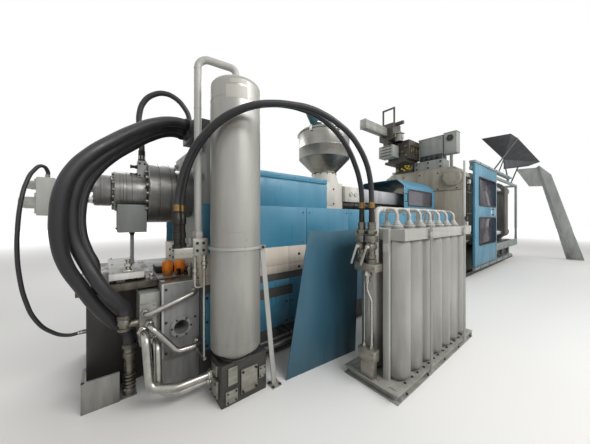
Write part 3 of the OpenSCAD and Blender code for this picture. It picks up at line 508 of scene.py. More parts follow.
platen_enamel = machine_paint("platen_enamel", "#8f8a7e", "#a39d90", "#4a463e", 0.7, 1.6, 0.35, 0.5, 0.45)
black_oxide = turned_steel("black_oxide_screws", "#3c3b3a", "#2a2928", 0.42, 0.3, "Z", 0.6)
parts = [softened("fixed_platen", 0.012, 3)]
parts += [block((-0.562, -0.93, 2.225), (-0.549, 0.93, 2.715), 0.003),
          block((-0.558, -0.93, 0.9), (-0.549, -0.45, 1.28), 0.003)]
fitted("fixed_platen_casting", parts, platen_enamel, stands_for=["fixed_platen"])
parts = bolts(ring_of(12, 0.34, -0.55), BACK, 0.042)
parts += bolts([(-0.562, y, z) for y in (-0.88, -0.45, 0, 0.45, 0.88) for z in (2.26, 2.68)], BACK, 0.026)
parts += bolts([(-0.558, y, z) for y in (-0.9, -0.48) for z in (0.93, 1.25)], BACK, 0.026)
parts += bolts([(-0.275, y, 2.8) for y in (-0.72, -0.62)], UP, 0.045)
parts += bolts([(x, -0.78, 0.742) for x in (-0.46, -0.09)], NEAR, 0.05)
fitted("fixed_platen_bolts", parts, black_oxide)

# Services on the platen's operator side. A dark sheet, painted shade for the shaded gaps beside
# the platen, with rigid steel lines clipped to it, a white post that stands off the corner, and
# two small switch boxes on the post.
# Near-black enamel: painted shade on the sheet, and the real colour of the distribution valves.
side_sheet = machine_paint("valve_enamel_and_painted_shade", "#303133", "#3c3d3e", "#1d1b19", 0.9, 1.5, 0.3, 0.5, 0.4)
parts = [block((-0.47, -1.012, 0.98), (-0.03, -0.999, 2.55), 0.002)]
for z in (1.1, 1.62, 2.14, 2.42):
    parts.append(block((-0.46, -1.058, z), (-0.04, -1.011, z + 0.022), 0.003))
parts += [block((-0.4, -1.075, 2.2), (-0.33, -1.011, 2.32), 0.004),
          block((-0.56, -1.095, 1.47), (-0.5, -1.042, 1.56), 0.004)]
fitted("platen_side_shade_sheet", parts, side_sheet)
line_foot = [(0, 0), (0, 0.022), (0.026, 0.022), (0.028, 0.016), (0.04, 0.016), (0.04, 0)]
parts = []
for x, radius, low, high in ((-0.43, 0.011, 1.04, 2.5), (-0.375, 0.017, 0.99, 2.18),
                             (-0.29, 0.011, 1.02, 2.46), (-0.23, 0.021, 0.99, 2.52),
                             (-0.16, 0.011, 1.06, 2.36), (-0.095, 0.016, 1.0, 2.48)):
    parts.append(rod((x, -1.038, low), (x, -1.038, high), radius, 16))
    fitting = turned(line_foot, (x, -1.038, high - 0.02), UP, 6)
    parts += copies(fitting, [shift((0, 0, -drop)) for drop in (0, 0.62, 1.12)])
fitted("platen_side_lines", parts, black_nipple)
post_white = machine_paint("white_post_enamel", "#c4c3bd", "#d2d1cb", "#8d8778", 1.3, 1.8, 0.3, 0.42, 0.3)
parts = [block((-0.545, -1.046, 1.36), (-0.5, -1.006, 2.9), 0.004),
         block((-0.54, -1.01, 1.42), (-0.505, -0.998, 1.5), 0.002),
         block((-0.54, -1.01, 2.3), (-0.505, -0.998, 2.38), 0.002),
         block((-0.565, -1.098, 1.2), (-0.492, -1.044, 1.44), 0.005),
         block((-0.34, -1.085, 2.36), (-0.27, -1.011, 2.46), 0.005)]
fitted("platen_side_post", parts, post_white)


# Tie bars. Four ground and chromed steel bars as long as the clamp, which pass through both
# end platens and guide the moving one. A thin film of grease lies on them.
chromed_bar = turned_steel("ground_chromed_bar", "#d2d4d4", "#bfc1c1", 0.16, 0.12, "X", 1.0)
corners = [(y, AXIS + z) for y in (-0.79, 0.79) for z in (-0.745, 0.745)]
parts = [turned([(0, 0), (0, 0.104), (0.006, 0.11), (5.164, 0.11), (5.17, 0.104), (5.17, 0)], (-0.61, y, z),
                ONWARD, 48) for y, z in corners]
fitted("tie_bars_ground", parts, chromed_bar, stands_for=["tie_bars"])


# Tie bar nuts. Turned covers close the bars' ends on the injection side, and slotted round
# nuts, each clamped by a ring of screws, hold them behind the cylinder platen.
cover = turned([(0.062, 0), (0, 0), (0, 0.17), (0.012, 0.192), (0.03, 0.205), (0.105, 0.205), (0.113, 0.2),
                (0.12, 0.196), (0.12, 0.11), (0.062, 0.11), (0.062, 0)], (-0.67, 0, 0), ONWARD, 64)
nut = turned([(0, 0.11), (0, 0.172), (0.008, 0.18), (0.06, 0.18), (0.064, 0.174), (0.072, 0.174),
              (0.076, 0.18), (0.152, 0.18), (0.16, 0.172), (0.16, 0.11), (0, 0.11)], (4.4, 0, 0), ONWARD, 64)
centres = [shift((0, y, z)) for y, z in corners]
parts = copies(cover, centres) + copies(nut, centres)
for y, z in corners:
    parts += socket_bolts(ring_of(8, 0.145, -0.67, y, z, 0.2), BACK, 0.028)
    parts += socket_bolts(ring_of(12, 0.148, 4.56, y, z, 0.1), ONWARD, 0.026)
fitted("tie_bar_nuts_turned", parts, platen_enamel, stands_for=["tie_bar_nuts"])


# Cylinder platen and clamp cylinder. The rear platen takes the clamp's thrust, and the blue
# flanged cylinder is bolted to its back, with feet down to the bed.
# The rear platen's enamel is painted far darker than the fixed platen's, as painted shade for the dark bay
# inside the clamp; its runs and worn spots are real.
painted_shade_platen_enamel = machine_paint("platen_enamel_with_painted_shade", "#4b4a46", "#5b5954", "#24211d", 0.7, 2.6, 0.35, 0.5,
                              0.5)
fitted("cylinder_platen_casting", [softened("cylinder_platen", 0.012, 3)], painted_shade_platen_enamel,
       stands_for=["cylinder_platen"])
blue_enamel = machine_paint("blue_guard_enamel", "#3f7f9b", "#4c8ca7", "#33505c", 0.2, 1.0, 0.25, 0.34, 0.22)
parts = [softened("clamp_cylinder", 0.01, 3)]
for x in (4.8, 5.02, 5.24):
    parts.append(turned([(0, 0.418), (0, 0.428), (0.005, 0.434), (0.035, 0.434), (0.04, 0.428), (0.04, 0.418),
                         (0, 0.418)], (x, 0, AXIS), ONWARD, 96))
fitted("clamp_cylinder_casting", parts, blue_enamel, stands_for=["clamp_cylinder"])
parts = bolts(ring_of(24, 0.47, 4.52), ONWARD, 0.05) + bolts(ring_of(16, 0.34, 5.38), ONWARD, 0.045)
parts += bolts([(x, s * 0.66, 2.8) for x in (4.0, 4.3) for s in (-1, 1)], UP, 0.05)
fitted("clamp_cylinder_bolts", parts, black_oxide)


# Moving platen and ram. The platen slides on the tie bars and on bronze shoes over the
# ways, pushed by the chromed ram through its bolted flange.
fitted("moving_platen_casting", [softened("moving_platen", 0.012, 3)], platen_enamel, "clamp",
       ["moving_platen"])
parts = [turned([(0, 0), (0, 0.432), (0.008, 0.44), (0.082, 0.44), (0.09, 0.432), (0.09, 0.308), (0.098, 0.3),
                 (2.794, 0.3), (2.8, 0.294), (2.8, 0)], (1.25, 0, AXIS), ONWARD, 96)]
fitted("clamp_ram_ground", parts, chromed_bar, "clamp", ["clamp_ram"])
parts = bolts(ring_of(20, 0.37, 1.34), ONWARD, 0.045)
for y, z in corners:
    parts += socket_bolts(ring_of(8, 0.15, 1.25, y, z, 0.2), ONWARD, 0.028)
fitted("moving_platen_bolts", parts, black_oxide, "clamp")


# Guard frame. Square tube posts and rails round the clamp, welded up and painted grey, with
# the door's top rail and its lower track carried on brackets from the bed.
frame_enamel = machine_paint("frame_grey_enamel", "#84908f", "#929d9b", "#56534c", 0.2, 1.2, 0.4, 0.45, 0.4)
fitted("guard_frame_tubes", [softened("guard_frame", 0.004)], frame_enamel,
       stands_for=["guard_frame"])
parts = []
for x in (0.4, 1.2, 2.0, 2.8, 3.6):
    parts += bolts([(x, -1.11, 2.96), (x, -1.11, 0.235)], NEAR, 0.024)
# The near heads are low ones, because the door slides past them.
for s, size in ((-1, 0.014), (1, 0.03)):
    for x in (2.145, 5.45):
        parts += bolts([(x, s * 1.04, 0.56), (x, s * 1.04, 0.66), (x, s * 1.04, 2.8)], (0, s, 0), size)
    for x in (2.7, 3.4, 4.1, 4.8):
        parts += bolts([(x, s * 1.04, 0.61)], (0, s, 0), size)
fitted("guard_frame_bolts", parts, black_oxide)
parts = [block((x, -1.046, 0.53), (x + 0.22, -1.0405, 0.69), 0.003) for x in (2.3, 3.9)]
fitted("guard_frame_plates", parts, frame_enamel)


# Operator door. A folded steel sliding door, enamelled blue, with two windows in black
# rubber gaskets, a white pull handle, a lock plate and rollers on the rail above.
def outline_frame(low, high, corner, width, y0, y1):
    """A flat ring with round corners in the XZ plane, such as a window gasket."""
    ring = []
    for k, (cx, cz) in enumerate([(high[0] - corner, high[1] - corner), (low[0] + corner, high[1] - corner),
                                  (low[0] + corner, low[1] + corner), (high[0] - corner, low[1] + corner)]):
        for step in range(7):
            a = math.pi / 2 * (k + step / 6)
            ring.append((cx, cz, math.cos(a), math.sin(a)))
    outer = [(cx + corner * c, y0, cz + corner * s) for cx, cz, c, s in ring]
    inner = [(cx + (corner - width) * c, y0, cz + (corner - width) * s) for cx, cz, c, s in ring]
    count = len(ring)
    mesh = bpy.data.meshes.new("gasket")
    mesh.from_pydata(outer + inner, [], [(i, (i + 1) % count, count + (i + 1) % count, count + i)
                                         for i in range(count)])
    part = new_part("gasket", mesh)
    edit_all()
    bpy.ops.mesh.extrude_region_move(TRANSFORM_OT_translate={"value": (0, y1 - y0, 0)})
    bpy.ops.mesh.select_all(action="SELECT")
    bpy.ops.mesh.normals_make_consistent(inside=False)
    bpy.ops.object.mode_set(mode="OBJECT")
    return break_edges(part, min(width, abs(y1 - y0)) * 0.2, 2)


parts = [softened("operator_door", 0.006, 3)]
for x0, x1, z0, z1 in ((0.03, 2.07, 1.575, 1.815), (0.03, 2.07, 0.32, 0.77), (0.03, 2.07, 2.64, 2.88)):
    parts.append(outline_frame((x0, z0), (x1, z1), 0.02, 0.01, -1.1, -1.103))
fitted("operator_door_panel", parts, blue_enamel, "door", ["operator_door"])

gasket_rubber, tree, shader, place = new_finish("window_gasket_rubber")
# Black EPDM profile, chalky where the light has aged it.
aged = noise(tree, place, 60, 4.0)
tone = ramp(tree, aged, (0.35, "#1c1c1d"), (0.7, "#353534"))
dress(tree, shader, tone, 0.62)
windows = [((0.335, 0.795), (1.975, 1.555)), ((0.335, 1.835), (1.975, 2.615))]  # low and high corners
parts = [outline_frame(low, high, 0.085, 0.032, -1.1, -1.112) for low, high in windows]
parts.append(block((2.092, -1.098, 0.32), (2.0995, -1.056, 2.88), 0.002))
fitted("door_window_gaskets", parts, gasket_rubber, "door")

tinted_pane, tree, shader, place = new_finish("smoked_polycarbonate")
# Smoked safety pane, greasy on the inside and finely scratched in patches of 200 mm.
scratch = noise(tree, place, 200, 8.0, 0.7)
haze = ramp(tree, scratch, (0.35, "#35323a"), (0.7, "#4d4952"))
rough = spread(tree, scratch, 0.3, 0.7, 0.05, 0.22)
shader.inputs["IOR"].default_value = 1.58
shader.inputs["Transmission Weight"].default_value = 0.12
shader.inputs["Specular IOR Level"].default_value = 0.02
dress(tree, shader, haze, rough)
fitted("door_window_panes", [softened("door_windows", 0.001)], tinted_pane, "door",
       ["door_windows"])

door_trim = turned_steel("folded_door_edge", "#a7b3b8", "#94a1a7", 0.4, 0.15, "Z", 0.5)
fitted("operator_door_edge", [block((2.046, -1.1035, 0.33), (2.072, -1.0995, 2.87), 0.0015)], door_trim,
       "door")
handle_white = machine_paint("white_handle_enamel", "#e2e2de", "#eeeeea", "#b3ada0", 0.0, 0.3, 0.15, 0.3, 0.1)
parts = [block((1.466, -1.183, 1.596), (1.504, -1.1795, 1.804), 0.0012)]
parts += [block((1.43, -1.1065, 1.575), (1.54, -1.1, 1.825), 0.003),
          block((1.44, -1.1085, 1.585), (1.53, -1.105, 1.655), 0.002),
          block((1.44, -1.1085, 1.745), (1.53, -1.105, 1.815), 0.002)]
fitted("door_handle_cover", parts, handle_white, "door")
parts = bolts([(x, -1.1085, z) for x in (1.452, 1.518) for z in (1.597, 1.643, 1.757, 1.803)], NEAR, 0.01)
for x in (0.3, 1.8):
    parts.append(turned([(0, 0), (0, 0.012), (0.004, 0.04), (0.03, 0.04), (0.034, 0.012), (0.034, 0)],
                        (x, -1.098, 2.865), FAR, 24))
fitted("door_screws_and_rollers", parts, black_oxide, "door")


# Rear guard. The same folded steel panel as the door, enamelled blue, on the far side of
# the clamp, where it is bolted shut with its windows blanked off.
fitted("rear_guard_panel", [softened("rear_guard", 0.006, 3)], blue_enamel,
       stands_for=["rear_guard"])
parts = [outline_frame(low, high, 0.085, 0.032, 1.1, 1.1095) for low, high in windows]
fitted("rear_guard_gaskets", parts, gasket_rubber)


# Hood and chute. The hood is bent sheet on a light angle frame, and the chute is one
# long folded sheet that stands on the floor beside the clamp's end.
dark_enamel = machine_paint("dark_sheet_enamel", "#46484b", "#525456", "#2a2826", 0.0, 0.6, 0.2, 0.5, 0.3)
fitted("clamp_hood", [softened("hood", 0.003)], dark_enamel, stands_for=["hood"])
chute_zinc = machine_paint("galvanised_chute", "#9da19f", "#adb0ad", "#5d5b53", 0.0, 0.9, 0.2, 0.42, 0.35)
fitted("folded_chute", [softened("chute", 0.003)], chute_zinc, stands_for=["chute"])


# Units on the fixed platen. A distribution block, a grey cabinet on four short legs and a
# taller box with a round gauge, all wired to the machine in the works.
sheet_enamel = machine_paint("grey_sheet_enamel", "#8b8e8a", "#999b95", "#57534a", 0.0, 0.6, 0.3, 0.48, 0.35)
parts = [softened("platen_top_units", 0.006, 2)]
parts += [block((-0.4835, -0.5, 3.24), (-0.4798, 0.02, 3.61), 0.0015),
          block((-0.5235, -0.83, 3.18), (-0.5198, -0.61, 3.44), 0.0015)]
parts += [block((-0.49, -0.56, 3.648), (-0.19, 0.07, 3.662), 0.003),
          block((-0.53, -0.87, 3.668), (-0.27, -0.57, 3.68), 0.003)]
fitted("platen_cabinets", parts, sheet_enamel, stands_for=["platen_top_units"])
parts = [block((-0.466, -0.538, 3.051), (-0.214, 0.048, 3.199), 0.004)]
parts += [block((-0.53, -0.515 + 0.13 * k, 3.07), (-0.467, -0.455 + 0.13 * k, 3.16), 0.005) for k in range(4)]
fitted("platen_distribution_valves", parts, side_sheet)
parts = [turned([(0, 0), (0, 0.07), (0.01, 0.078), (0.02, 0.078), (0.024, 0.07), (0.016, 0.064), (0.016, 0)],
                (-0.5199, -0.72, 3.53), BACK, 32)]
parts += bolts([(-0.4835, y, z) for y in (-0.48, 0.0) for z in (3.26, 3.59)], BACK, 0.018)
parts += bolts([(-0.52, y, z) for y in (-0.5, -0.2, 0.1) for z in (2.86, 2.99)], BACK, 0.034)
fitted("platen_cabinet_gauge", parts, black_oxide)


# Part picker. A gear block and head on the platen carry a long beam that runs through
# rollers; the motor, its belt case, the hoop for the cables and the air valves hang on it.
picker_dark = machine_paint("picker_dark_enamel", "#3f3a34", "#4c4640", "#2a2622", 2.7, 3.3, 0.3, 0.5, 0.4)
parts = [softened("picker_base", 0.008, 2)]
for x in (-1.28, -0.93):
    parts.append(block((x, 0.505, 3.7), (x + 0.03, 0.519, 4.0), 0.002))
    parts.append(block((x, 0.681, 3.7), (x + 0.03, 0.695, 4.0), 0.002))
for z in (3.2, 3.28, 3.36, 3.44):
    parts.append(block((-1.306, 0.4, z), (-1.299, 0.73, z + 0.03), 0.002))
for x in (-0.9, -0.76, -0.62, -0.48):
    parts.append(block((x, 0.078, 3.15), (x + 0.05, 0.092, 3.59), 0.004))
parts += bolts([(-0.95, y, z) for y in (0.14, 0.65) for z in (3.17, 3.57)], BACK, 0.04)
fitted("picker_head", parts, picker_dark, stands_for=["picker_base"])
# Air valves, lubrication feeders and unions cover the head's two open faces.
tarnished = turned_steel("tarnished_valve_brass", "#8a7d62", "#5f5543", 0.38, 0.5, "Z", 0.8)
union = [(0, 0), (0, 0.03), (0.022, 0.03), (0.024, 0.02), (0.044, 0.02), (0.046, 0.026), (0.07, 0.026),
         (0.07, 0)]
parts = []
for k, (y, z) in enumerate(((0.15, 3.2), (0.26, 3.31), (0.17, 3.44), (0.37, 3.52), (0.52, 3.53),
                            (0.63, 3.54))):
    parts.append(turned(union, (-0.951, y, z), BACK, 12 if k % 2 else 6))
for k in range(7):
    x = -0.9 + 0.085 * k
    parts += [block((x, 0.052, 3.26 + 0.04 * (k % 3)), (x + 0.06, 0.091, 3.36 + 0.05 * (k % 2)), 0.004)]
    parts.append(turned(union, (x + 0.03, 0.091, 3.46 + 0.03 * (k % 2)), NEAR, 8))
parts += [block((-0.6, 0.175, 2.88), (-0.541, 0.235, 3.0), 0.005),
          block((-0.6, 0.56, 2.86), (-0.541, 0.66, 2.98), 0.005)]
parts += [block((-1.29, 0.5, 3.485), (-1.22, 0.64, 3.56), 0.006),
          block((-1.27, 0.3, 3.655), (-1.16, 0.356, 3.78), 0.006)]
fitted("picker_valves", parts, tarnished)
cap_yellow = machine_paint("yellow_valve_cap", "#d8bc2a", "#e6cf4e", "#7d6f35", 2.8, 3.0, 0.3, 0.4, 0.2)
cap = turned([(0, 0), (0, 0.02), (0.004, 0.026), (0.05, 0.026), (0.056, 0.022), (0.06, 0.01), (0.06, 0)],
             (0, 0, 0), BACK, 16)
parts = copies(cap, [shift((-0.54, y, z)) for y, z in ((0.27, 2.9), (0.34, 2.93), (0.42, 2.89),
                                                       (0.49, 2.94))])
parts += [block((-0.585, 0.36, 2.965), (-0.541, 0.41, 3.035), 0.004),
          block((-0.58, 0.28, 2.955), (-0.541, 0.32, 3.02), 0.004)]
fitted("picker_valve_caps", parts, cap_yellow)
light_enamel = machine_paint("light_block_enamel", "#b3b3ae", "#c1c1bc", "#6f6a60", 0.0, 0.5, 0.3, 0.45, 0.35)
parts = [softened("picker_beam", 0.006)]
parts += [block((-2.24, 0.516, z), (-0.62, 0.521, z + 0.03), 0.002) for z in (3.78, 3.89)]
parts += [block((-2.27, 0.51, 3.73), (-2.255, 0.69, 3.97), 0.004)]
beam_enamel = machine_paint("beam_grey_enamel", "#94938c", "#a3a29b", "#57534a", 3.7, 3.84, 0.35, 0.45, 0.35)
fitted("picker_beam_extrusion", parts, beam_enamel, "picker", ["picker_beam"])
bright_rail = turned_steel("ground_guide_rail", "#8a8985", "#75736f", 0.3, 0.3, "X", 0.9)
parts = [block((-2.24, 0.575, 3.7365), (-0.62, 0.625, 3.7405), 0)]
fitted("picker_beam_rail", parts, bright_rail, "picker")
fins = [(0, 0), (0, 0.092), (0.006, 0.098)]
for k in range(8):
    fins += [(0.02 + k * 0.022, 0.098), (0.022 + k * 0.022, 0.103), (0.032 + k * 0.022, 0.103),
             (0.034 + k * 0.022, 0.098)]
fins += [(0.214, 0.098), (0.22, 0.092), (0.22, 0)]
parts = [turned(fins, (-1.1, 0.3, 3.56), UP, 40), block((-1.215, 0.185, 3.775), (-0.985, 0.36, 3.8), 0.004),
         block((-1.14, 0.175, 3.62), (-1.06, 0.215, 3.72), 0.006)]
fitted("picker_motor", parts, light_enamel)
parts = [block((-1.302, 0.358, 3.168), (-0.998, 0.772, 3.482), 0.006),
         block((-1.3055, 0.39, 3.2), (-1.3, 0.74, 3.45), 0.002)]
fitted("picker_terminal_box", parts, sheet_enamel)


# Injection base. A long welded steel box on levelling pads, painted dark, with a plain rear
# stand and a deck plate on it that has gone brown under spilt oil.
base_enamel = machine_paint("dark_base_enamel", "#3e3d3b", "#4b4946", "#1f1c19", 0.0, 0.7, 0.3, 0.5, 0.6)
parts = [softened("injection_base", 0.005)]
for i in range(5):
    for s in (-1, 1):
        parts.append(turned([(0, 0), (0, 0.094), (0.006, 0.1), (0.022, 0.1), (0.03, 0.085), (0.034, 0.04),
                             (0.058, 0.04), (0.058, 0)], (-6.3 + i * 1.3, s * 0.62, 0), UP, 28))
fitted("injection_base_frame", parts, base_enamel, stands_for=["injection_base"])

oily_plate, tree, shader, place = new_finish("oily_deck_plate")
# Rolled plate under years of hydraulic oil: brown pools with a wet shine in patches of
# 200 mm, drier and greyer between them, with grit every few millimetres.
pool = noise(tree, place, 200, 7.0, 0.62, 0.6)
grit = noise(tree, place, 6, 2.0)
tone = ramp(tree, pool, (0.34, "#2f2a23"), (0.5, "#4c4538"), (0.68, "#6f6859"))
fleck = spread(tree, grit, 0.62, 0.75, 0.0, 0.35)
mixed = blend(tree, fleck, tone, tint("#9a917f"))
wet = spread(tree, pool, 0.4, 0.6, 0.16, 0.6)
dress(tree, shader, mixed, wet, grit, 0.15, 0.001)
parts = [block((-7.4505, -0.561, 0.924), (-6.901, 0.736, 0.9635), 0.003),
         block((-7.4515, -0.564, 0.915), (-7.446, 0.736, 0.972), 0.002),
         block((-7.4505, -0.566, 0.905), (-6.901, -0.5605, 0.9645), 0.002)]
fitted("rear_deck_plate", parts, oily_plate)


# Lower panels. Blue enamelled sheets screwed to the base, one to each bay, with a dark gap
# between neighbours and a slotted hand hole in the second one.
def carve(part, tool, how):
    """Cuts a part with a tool, which is used up."""
    groove = pick(part).modifiers.new("groove", "BOOLEAN")
    groove.operation, groove.solver, groove.object = how, "EXACT", tool
    bpy.ops.object.modifier_apply(modifier="groove")
    bpy.data.objects.remove(tool)
    return part


def cut(part, tools, width=0.003):
    """Cuts the tools out of a part and breaks the new edges."""
    carve(part, joined(tools), "DIFFERENCE")
    return break_edges(part, width) if width else part


side = 0.8  # the outer face of the base's panels, ledge and guards
gap = 0.0025  # half the gap between two sheets
bay_x, bay = -6.59, 0.978  # where the first panel starts, and the length of each
tools = []
for low, high in ((-0.83, -0.794), (0.794, 0.83)):
    for i in range(1, 6):
        x = bay_x + bay * i
        tools.append(block((x - gap, low, 0.3), (x + gap, high, 0.83), 0))
fitted("lower_panel_sheets", [cut(softened("lower_panels", 0), tools, 0.002)], blue_enamel,
       stands_for=["lower_panels"])
parts = []
for s in (-1, 1):
    spots = [(bay_x + bay * i + dx, s * side, z) for i in range(6) for dx in (0.04, 0.938)
             for z in (0.35, 0.565, 0.78)]
    parts += bolts([spot for spot in spots if not (-6.08 < spot[0] < -5.54 and spot[2] > 0.6)], (0, s, 0),
                   0.016)
fitted("lower_panel_screws", parts, black_oxide)


# Ledge. The base's cream upper deck: a folded cover along the side with a rolled edge, bolted
# down every half metre and scuffed by tools that have been laid on it.
cream_enamel = machine_paint("cream_ledge_enamel", "#cdc1b2", "#d8cec1", "#837767", 0.88, 1.08, 0.35, 0.45,
                             0.3)
tools = [block((x - 0.002, low, 0.89), (x + 0.002, high, 1.2), 0) for low,
         high in ((-0.83, -0.792), (0.792, 0.83)) for x in (-5.62, -4.64, -3.66, -2.68, -1.7)]
cover = cut(softened("base_ledge", 0), tools, 0)
tools = [block((-6.61, s * 0.8 - 0.006, 0.985), (-0.71, s * 0.8 + 0.006, 0.99), 0) for s in (-1, 1)]
fitted("ledge_cover", [cut(cover, tools, 0.004)], cream_enamel, stands_for=["base_ledge"])
parts = []
for s in (-1, 1):
    for z in (1.09, 0.94):
        parts += bolts([(-6.45 + 0.49 * i, s * side, z) for i in range(12)], (0, s, 0), 0.022)
fitted("ledge_bolts", parts, black_oxide)


# Upper guards. Blue sheet guards along both sides of the injection unit, with a returned top
# edge, lifted off by their handles; one of them stands beside the base.
seams = [-6.15, -5.35, -4.55, -3.75, -2.95, -2.15, -1.35]
tools = [block((x - gap, s * 0.785 - 0.024, 1.18), (x + gap, s * 0.785 + 0.024, 1.65), 0) for x in seams
         for s in (-1, 1)]
fitted("upper_guard_sheets", [cut(softened("upper_guards", 0), tools, 0.003)], blue_enamel,
       stands_for=["upper_guards"])
parts = []
for s in (-1, 1):
    parts += bolts([(x + dx, s * side, z) for x in seams for dx in (-0.05, 0.05) for z in (1.23, 1.58)],
                   (0, s, 0), 0.016)
fitted("upper_guard_screws", parts, blue_enamel)


# Injection cover. A deep folded hood over the drive's cylinder, in blue, with a dark joint
# under its top band, a row of small painted screws in the band and lifting eyes on top.
fitted("injection_cover_sheet", [softened("injection_cover", 0.006)], blue_enamel,
       stands_for=["injection_cover"])
parts = []
for s in (-1, 1):
    parts += bolts([(-6.2 + 0.25 * i, s * 0.705, 2.007) for i in range(6)], (0, s, 0), 0.012)
parts += bolts([(-6.3, y, z) for y in (-0.66, 0, 0.66) for z in (1.7, 1.9)], BACK, 0.018)
for x in (-6.1, -5.1):
    for y in (-0.5, 0.5):
        parts.append(turned([(0, 0), (0, 0.022), (0.008, 0.024), (0.01, 0.012), (0.018, 0.012), (0.018, 0)],
                            (x, y, 2.04), UP, 16))
fitted("injection_cover_screws", parts, blue_enamel)


# Feed housing and hopper. A cast throat over the barrel carries a spun stainless hopper with
# a clamped lid, and a small loader on the lid draws the pellets up.
cast_white = machine_paint("cast_white_enamel", "#c6c3b9", "#d2cfc6", "#7c7567", 1.2, 1.7, 0.3, 0.45, 0.35)
parts = [softened("feed_housing", 0.012, 3)]
parts += [block((-4.898, -0.2, 1.75), (-4.889, 0.2, 2.05), 0.003),
          block((-4.7, -0.308, 1.72), (-4.3, -0.299, 2.02), 0.004),
          block((-4.7, 0.299, 1.72), (-4.3, 0.308, 2.02), 0.004)]
parts += [block((-4.62, -0.318, 1.55), (-4.38, -0.299, 1.66), 0.006)]
fitted("feed_throat_casting", parts, cast_white, stands_for=["feed_housing"])
parts = bolts([(x, -0.308, z) for x in (-4.67, -4.5, -4.33) for z in (1.75, 1.99)], NEAR, 0.02)
parts += bolts([(-4.24 + 0.215 * math.cos(a * math.pi / 6), 0.215 * math.sin(a * math.pi / 6), 2.268)
                for a in range(12)], UP, 0.018)
fitted("feed_throat_bolts", parts, black_oxide)

hopper_x = -4.24  # the hopper's axis, over the feed throat
spun_stainless, tree, shader, place = new_finish("spun_stainless")
# Stainless sheet spun and polished round its axis, so the light runs in rings about 4 mm
# apart, with finger marks and pellet dust in patches of 300 mm.
part = add(tree, "SeparateXYZ", None, {0: place})
rings = add(tree, "CombineXYZ", None, {2: part.outputs["Z"]})
spun = noise(tree, rings.outputs[0], 8, 4.0)
marks = noise(tree, place, 300, 6.0, 0.6)
tone = ramp(tree, marks, (0.35, "#7c7b76"), (0.65, "#96958f"))
shader.inputs["Metallic"].default_value = 1.0
worn = spread(tree, spun, 0.3, 0.7, 0.22, 0.4)
dress(tree, shader, tone, worn, spun, 0.1, 0.0006)
wall = [(0, 0), (0, 0.2), (0.01, 0.214), (0.018, 0.214), (0.02, 0.212), (0.24, 0.432), (0.246, 0.438),
        (0.252, 0.44), (0.42, 0.44), (0.423, 0.4425), (0.431, 0.4425), (0.434, 0.44), (0.676, 0.44),
        (0.678, 0.448), (0.686, 0.452), (0.704, 0.452), (0.712, 0.448), (0.714, 0.438), (0.716, 0.42),
        (0.738, 0.215), (0.741, 0.19), (0.741, 0)]
fitted("hopper_spun", [turned(wall, (hopper_x, 0, 2.29), UP, 96)], spun_stainless,
       stands_for=["hopper"])
parts = []
for k in range(6):
    a = math.pi / 3 * k + 0.3
    x, y = hopper_x + 0.452 * math.cos(a), 0.452 * math.sin(a)
    latch = joined([block((-0.006, -0.022, -0.055), (0.01, 0.022, 0.035), 0.002),
                    block((0.008, -0.01, -0.045), (0.02, 0.01, 0.01), 0.002)])
    parts += copies(latch, [shift((x, y, 2.985)) @ Matrix.Rotation(a, 4, "Z")])
fitted("hopper_lid_latches", parts, chromed_bar)

# The loose guard's blue: the guard blue painted darker, as painted shade on the guard where it stands.
shaded_guard_blue = machine_paint("guard_blue_with_painted_shade", "#2f5767", "#38657a", "#263a42", 0.0, 0.7, 0.3, 0.4, 0.3)
loader_enamel = machine_paint("loader_teal_enamel", "#1f474d", "#2b575d", "#16282b", 2.9, 3.1, 0.3, 0.4, 0.3)
fitted("loader_body", [softened("hopper_loader", 0.006, 2)], loader_enamel,
       stands_for=["hopper_loader"])
parts = [turned([(0, 0.05), (0, 0.094), (0.014, 0.094), (0.014, 0.086), (0, 0.05)], (-4.5, -0.08, 3.09), UP,
                40)]
lean = (-math.sin(math.radians(35)), 0, math.cos(math.radians(35)))
tip = Vector((-4.5, -0.08, 3.076)) + Vector(lean) * 0.235
parts.append(turned([(0, 0), (0, 0.089), (0.01, 0.092), (0.018, 0.089), (0.018, 0.045), (0.03, 0.042),
                     (0.046, 0.042), (0.046, 0)], tip, lean, 40))
fitted("loader_rings", parts, spun_stainless)


# Barrel and heaters. A nitrided barrel with its nozzle, wrapped in ceramic band heaters under
# ribbed stainless jackets, each clamped along its side and fed from a terminal box on top.
nitrided = turned_steel("nitrided_barrel", "#5b5753", "#45413d", 0.4, 0.5, "X", 0.85)
body = [(0, 0), (0, 0.12), (3.67, 0.12), (3.67, 0.09), (3.82, 0.09), (3.96, 0.028), (3.96, 0.012), (3.9, 0)]
fitted("barrel_turned", [turned(body, (-4.1, 0, AXIS), ONWARD, 64)], nitrided,
       stands_for=["barrel"])
jacket_sheet = turned_steel("heat_tinted_stainless", "#96928a", "#7d786e", 0.36, 0.45, "X", 1.0)
ribbed = [(0, 0.121), (0, 0.165), (0.006, 0.174), (0.03, 0.175)]
for k in range(8):
    x = 0.04 + k * 0.05
    ribbed += [(x, 0.175), (x + 0.004, 0.171), (x + 0.016, 0.171), (x + 0.02, 0.175)]
ribbed += [(0.454, 0.174), (0.46, 0.165), (0.46, 0.121), (0, 0.121)]
jacket = turned(ribbed, (-4.08, 0, AXIS), ONWARD, 64)
shifts = [shift((0.48 * i, 0, 0)) for i in range(7)]
parts = copies(jacket, shifts)
clamp = joined([block((-4.06, -0.03, 1.952), (-3.64, -0.012, 1.985), 0.003),
                block((-4.06, 0.012, 1.952), (-3.64, 0.03, 1.985), 0.003)])
parts += copies(clamp, shifts)
fitted("heater_jackets_sheet", parts, jacket_sheet, stands_for=["heater_jackets"])
box = block((-3.92, -0.1, 1.955), (-3.78, -0.035, 2.005), 0.006)
parts = copies(box, shifts)
for i in range(7):
    parts += bolts([(-4.02 + 0.48 * i + dx, -0.03, 1.968) for dx in (0, 0.17, 0.34)], NEAR, 0.012)
fitted("heater_terminal_boxes", parts, sheet_enamel)


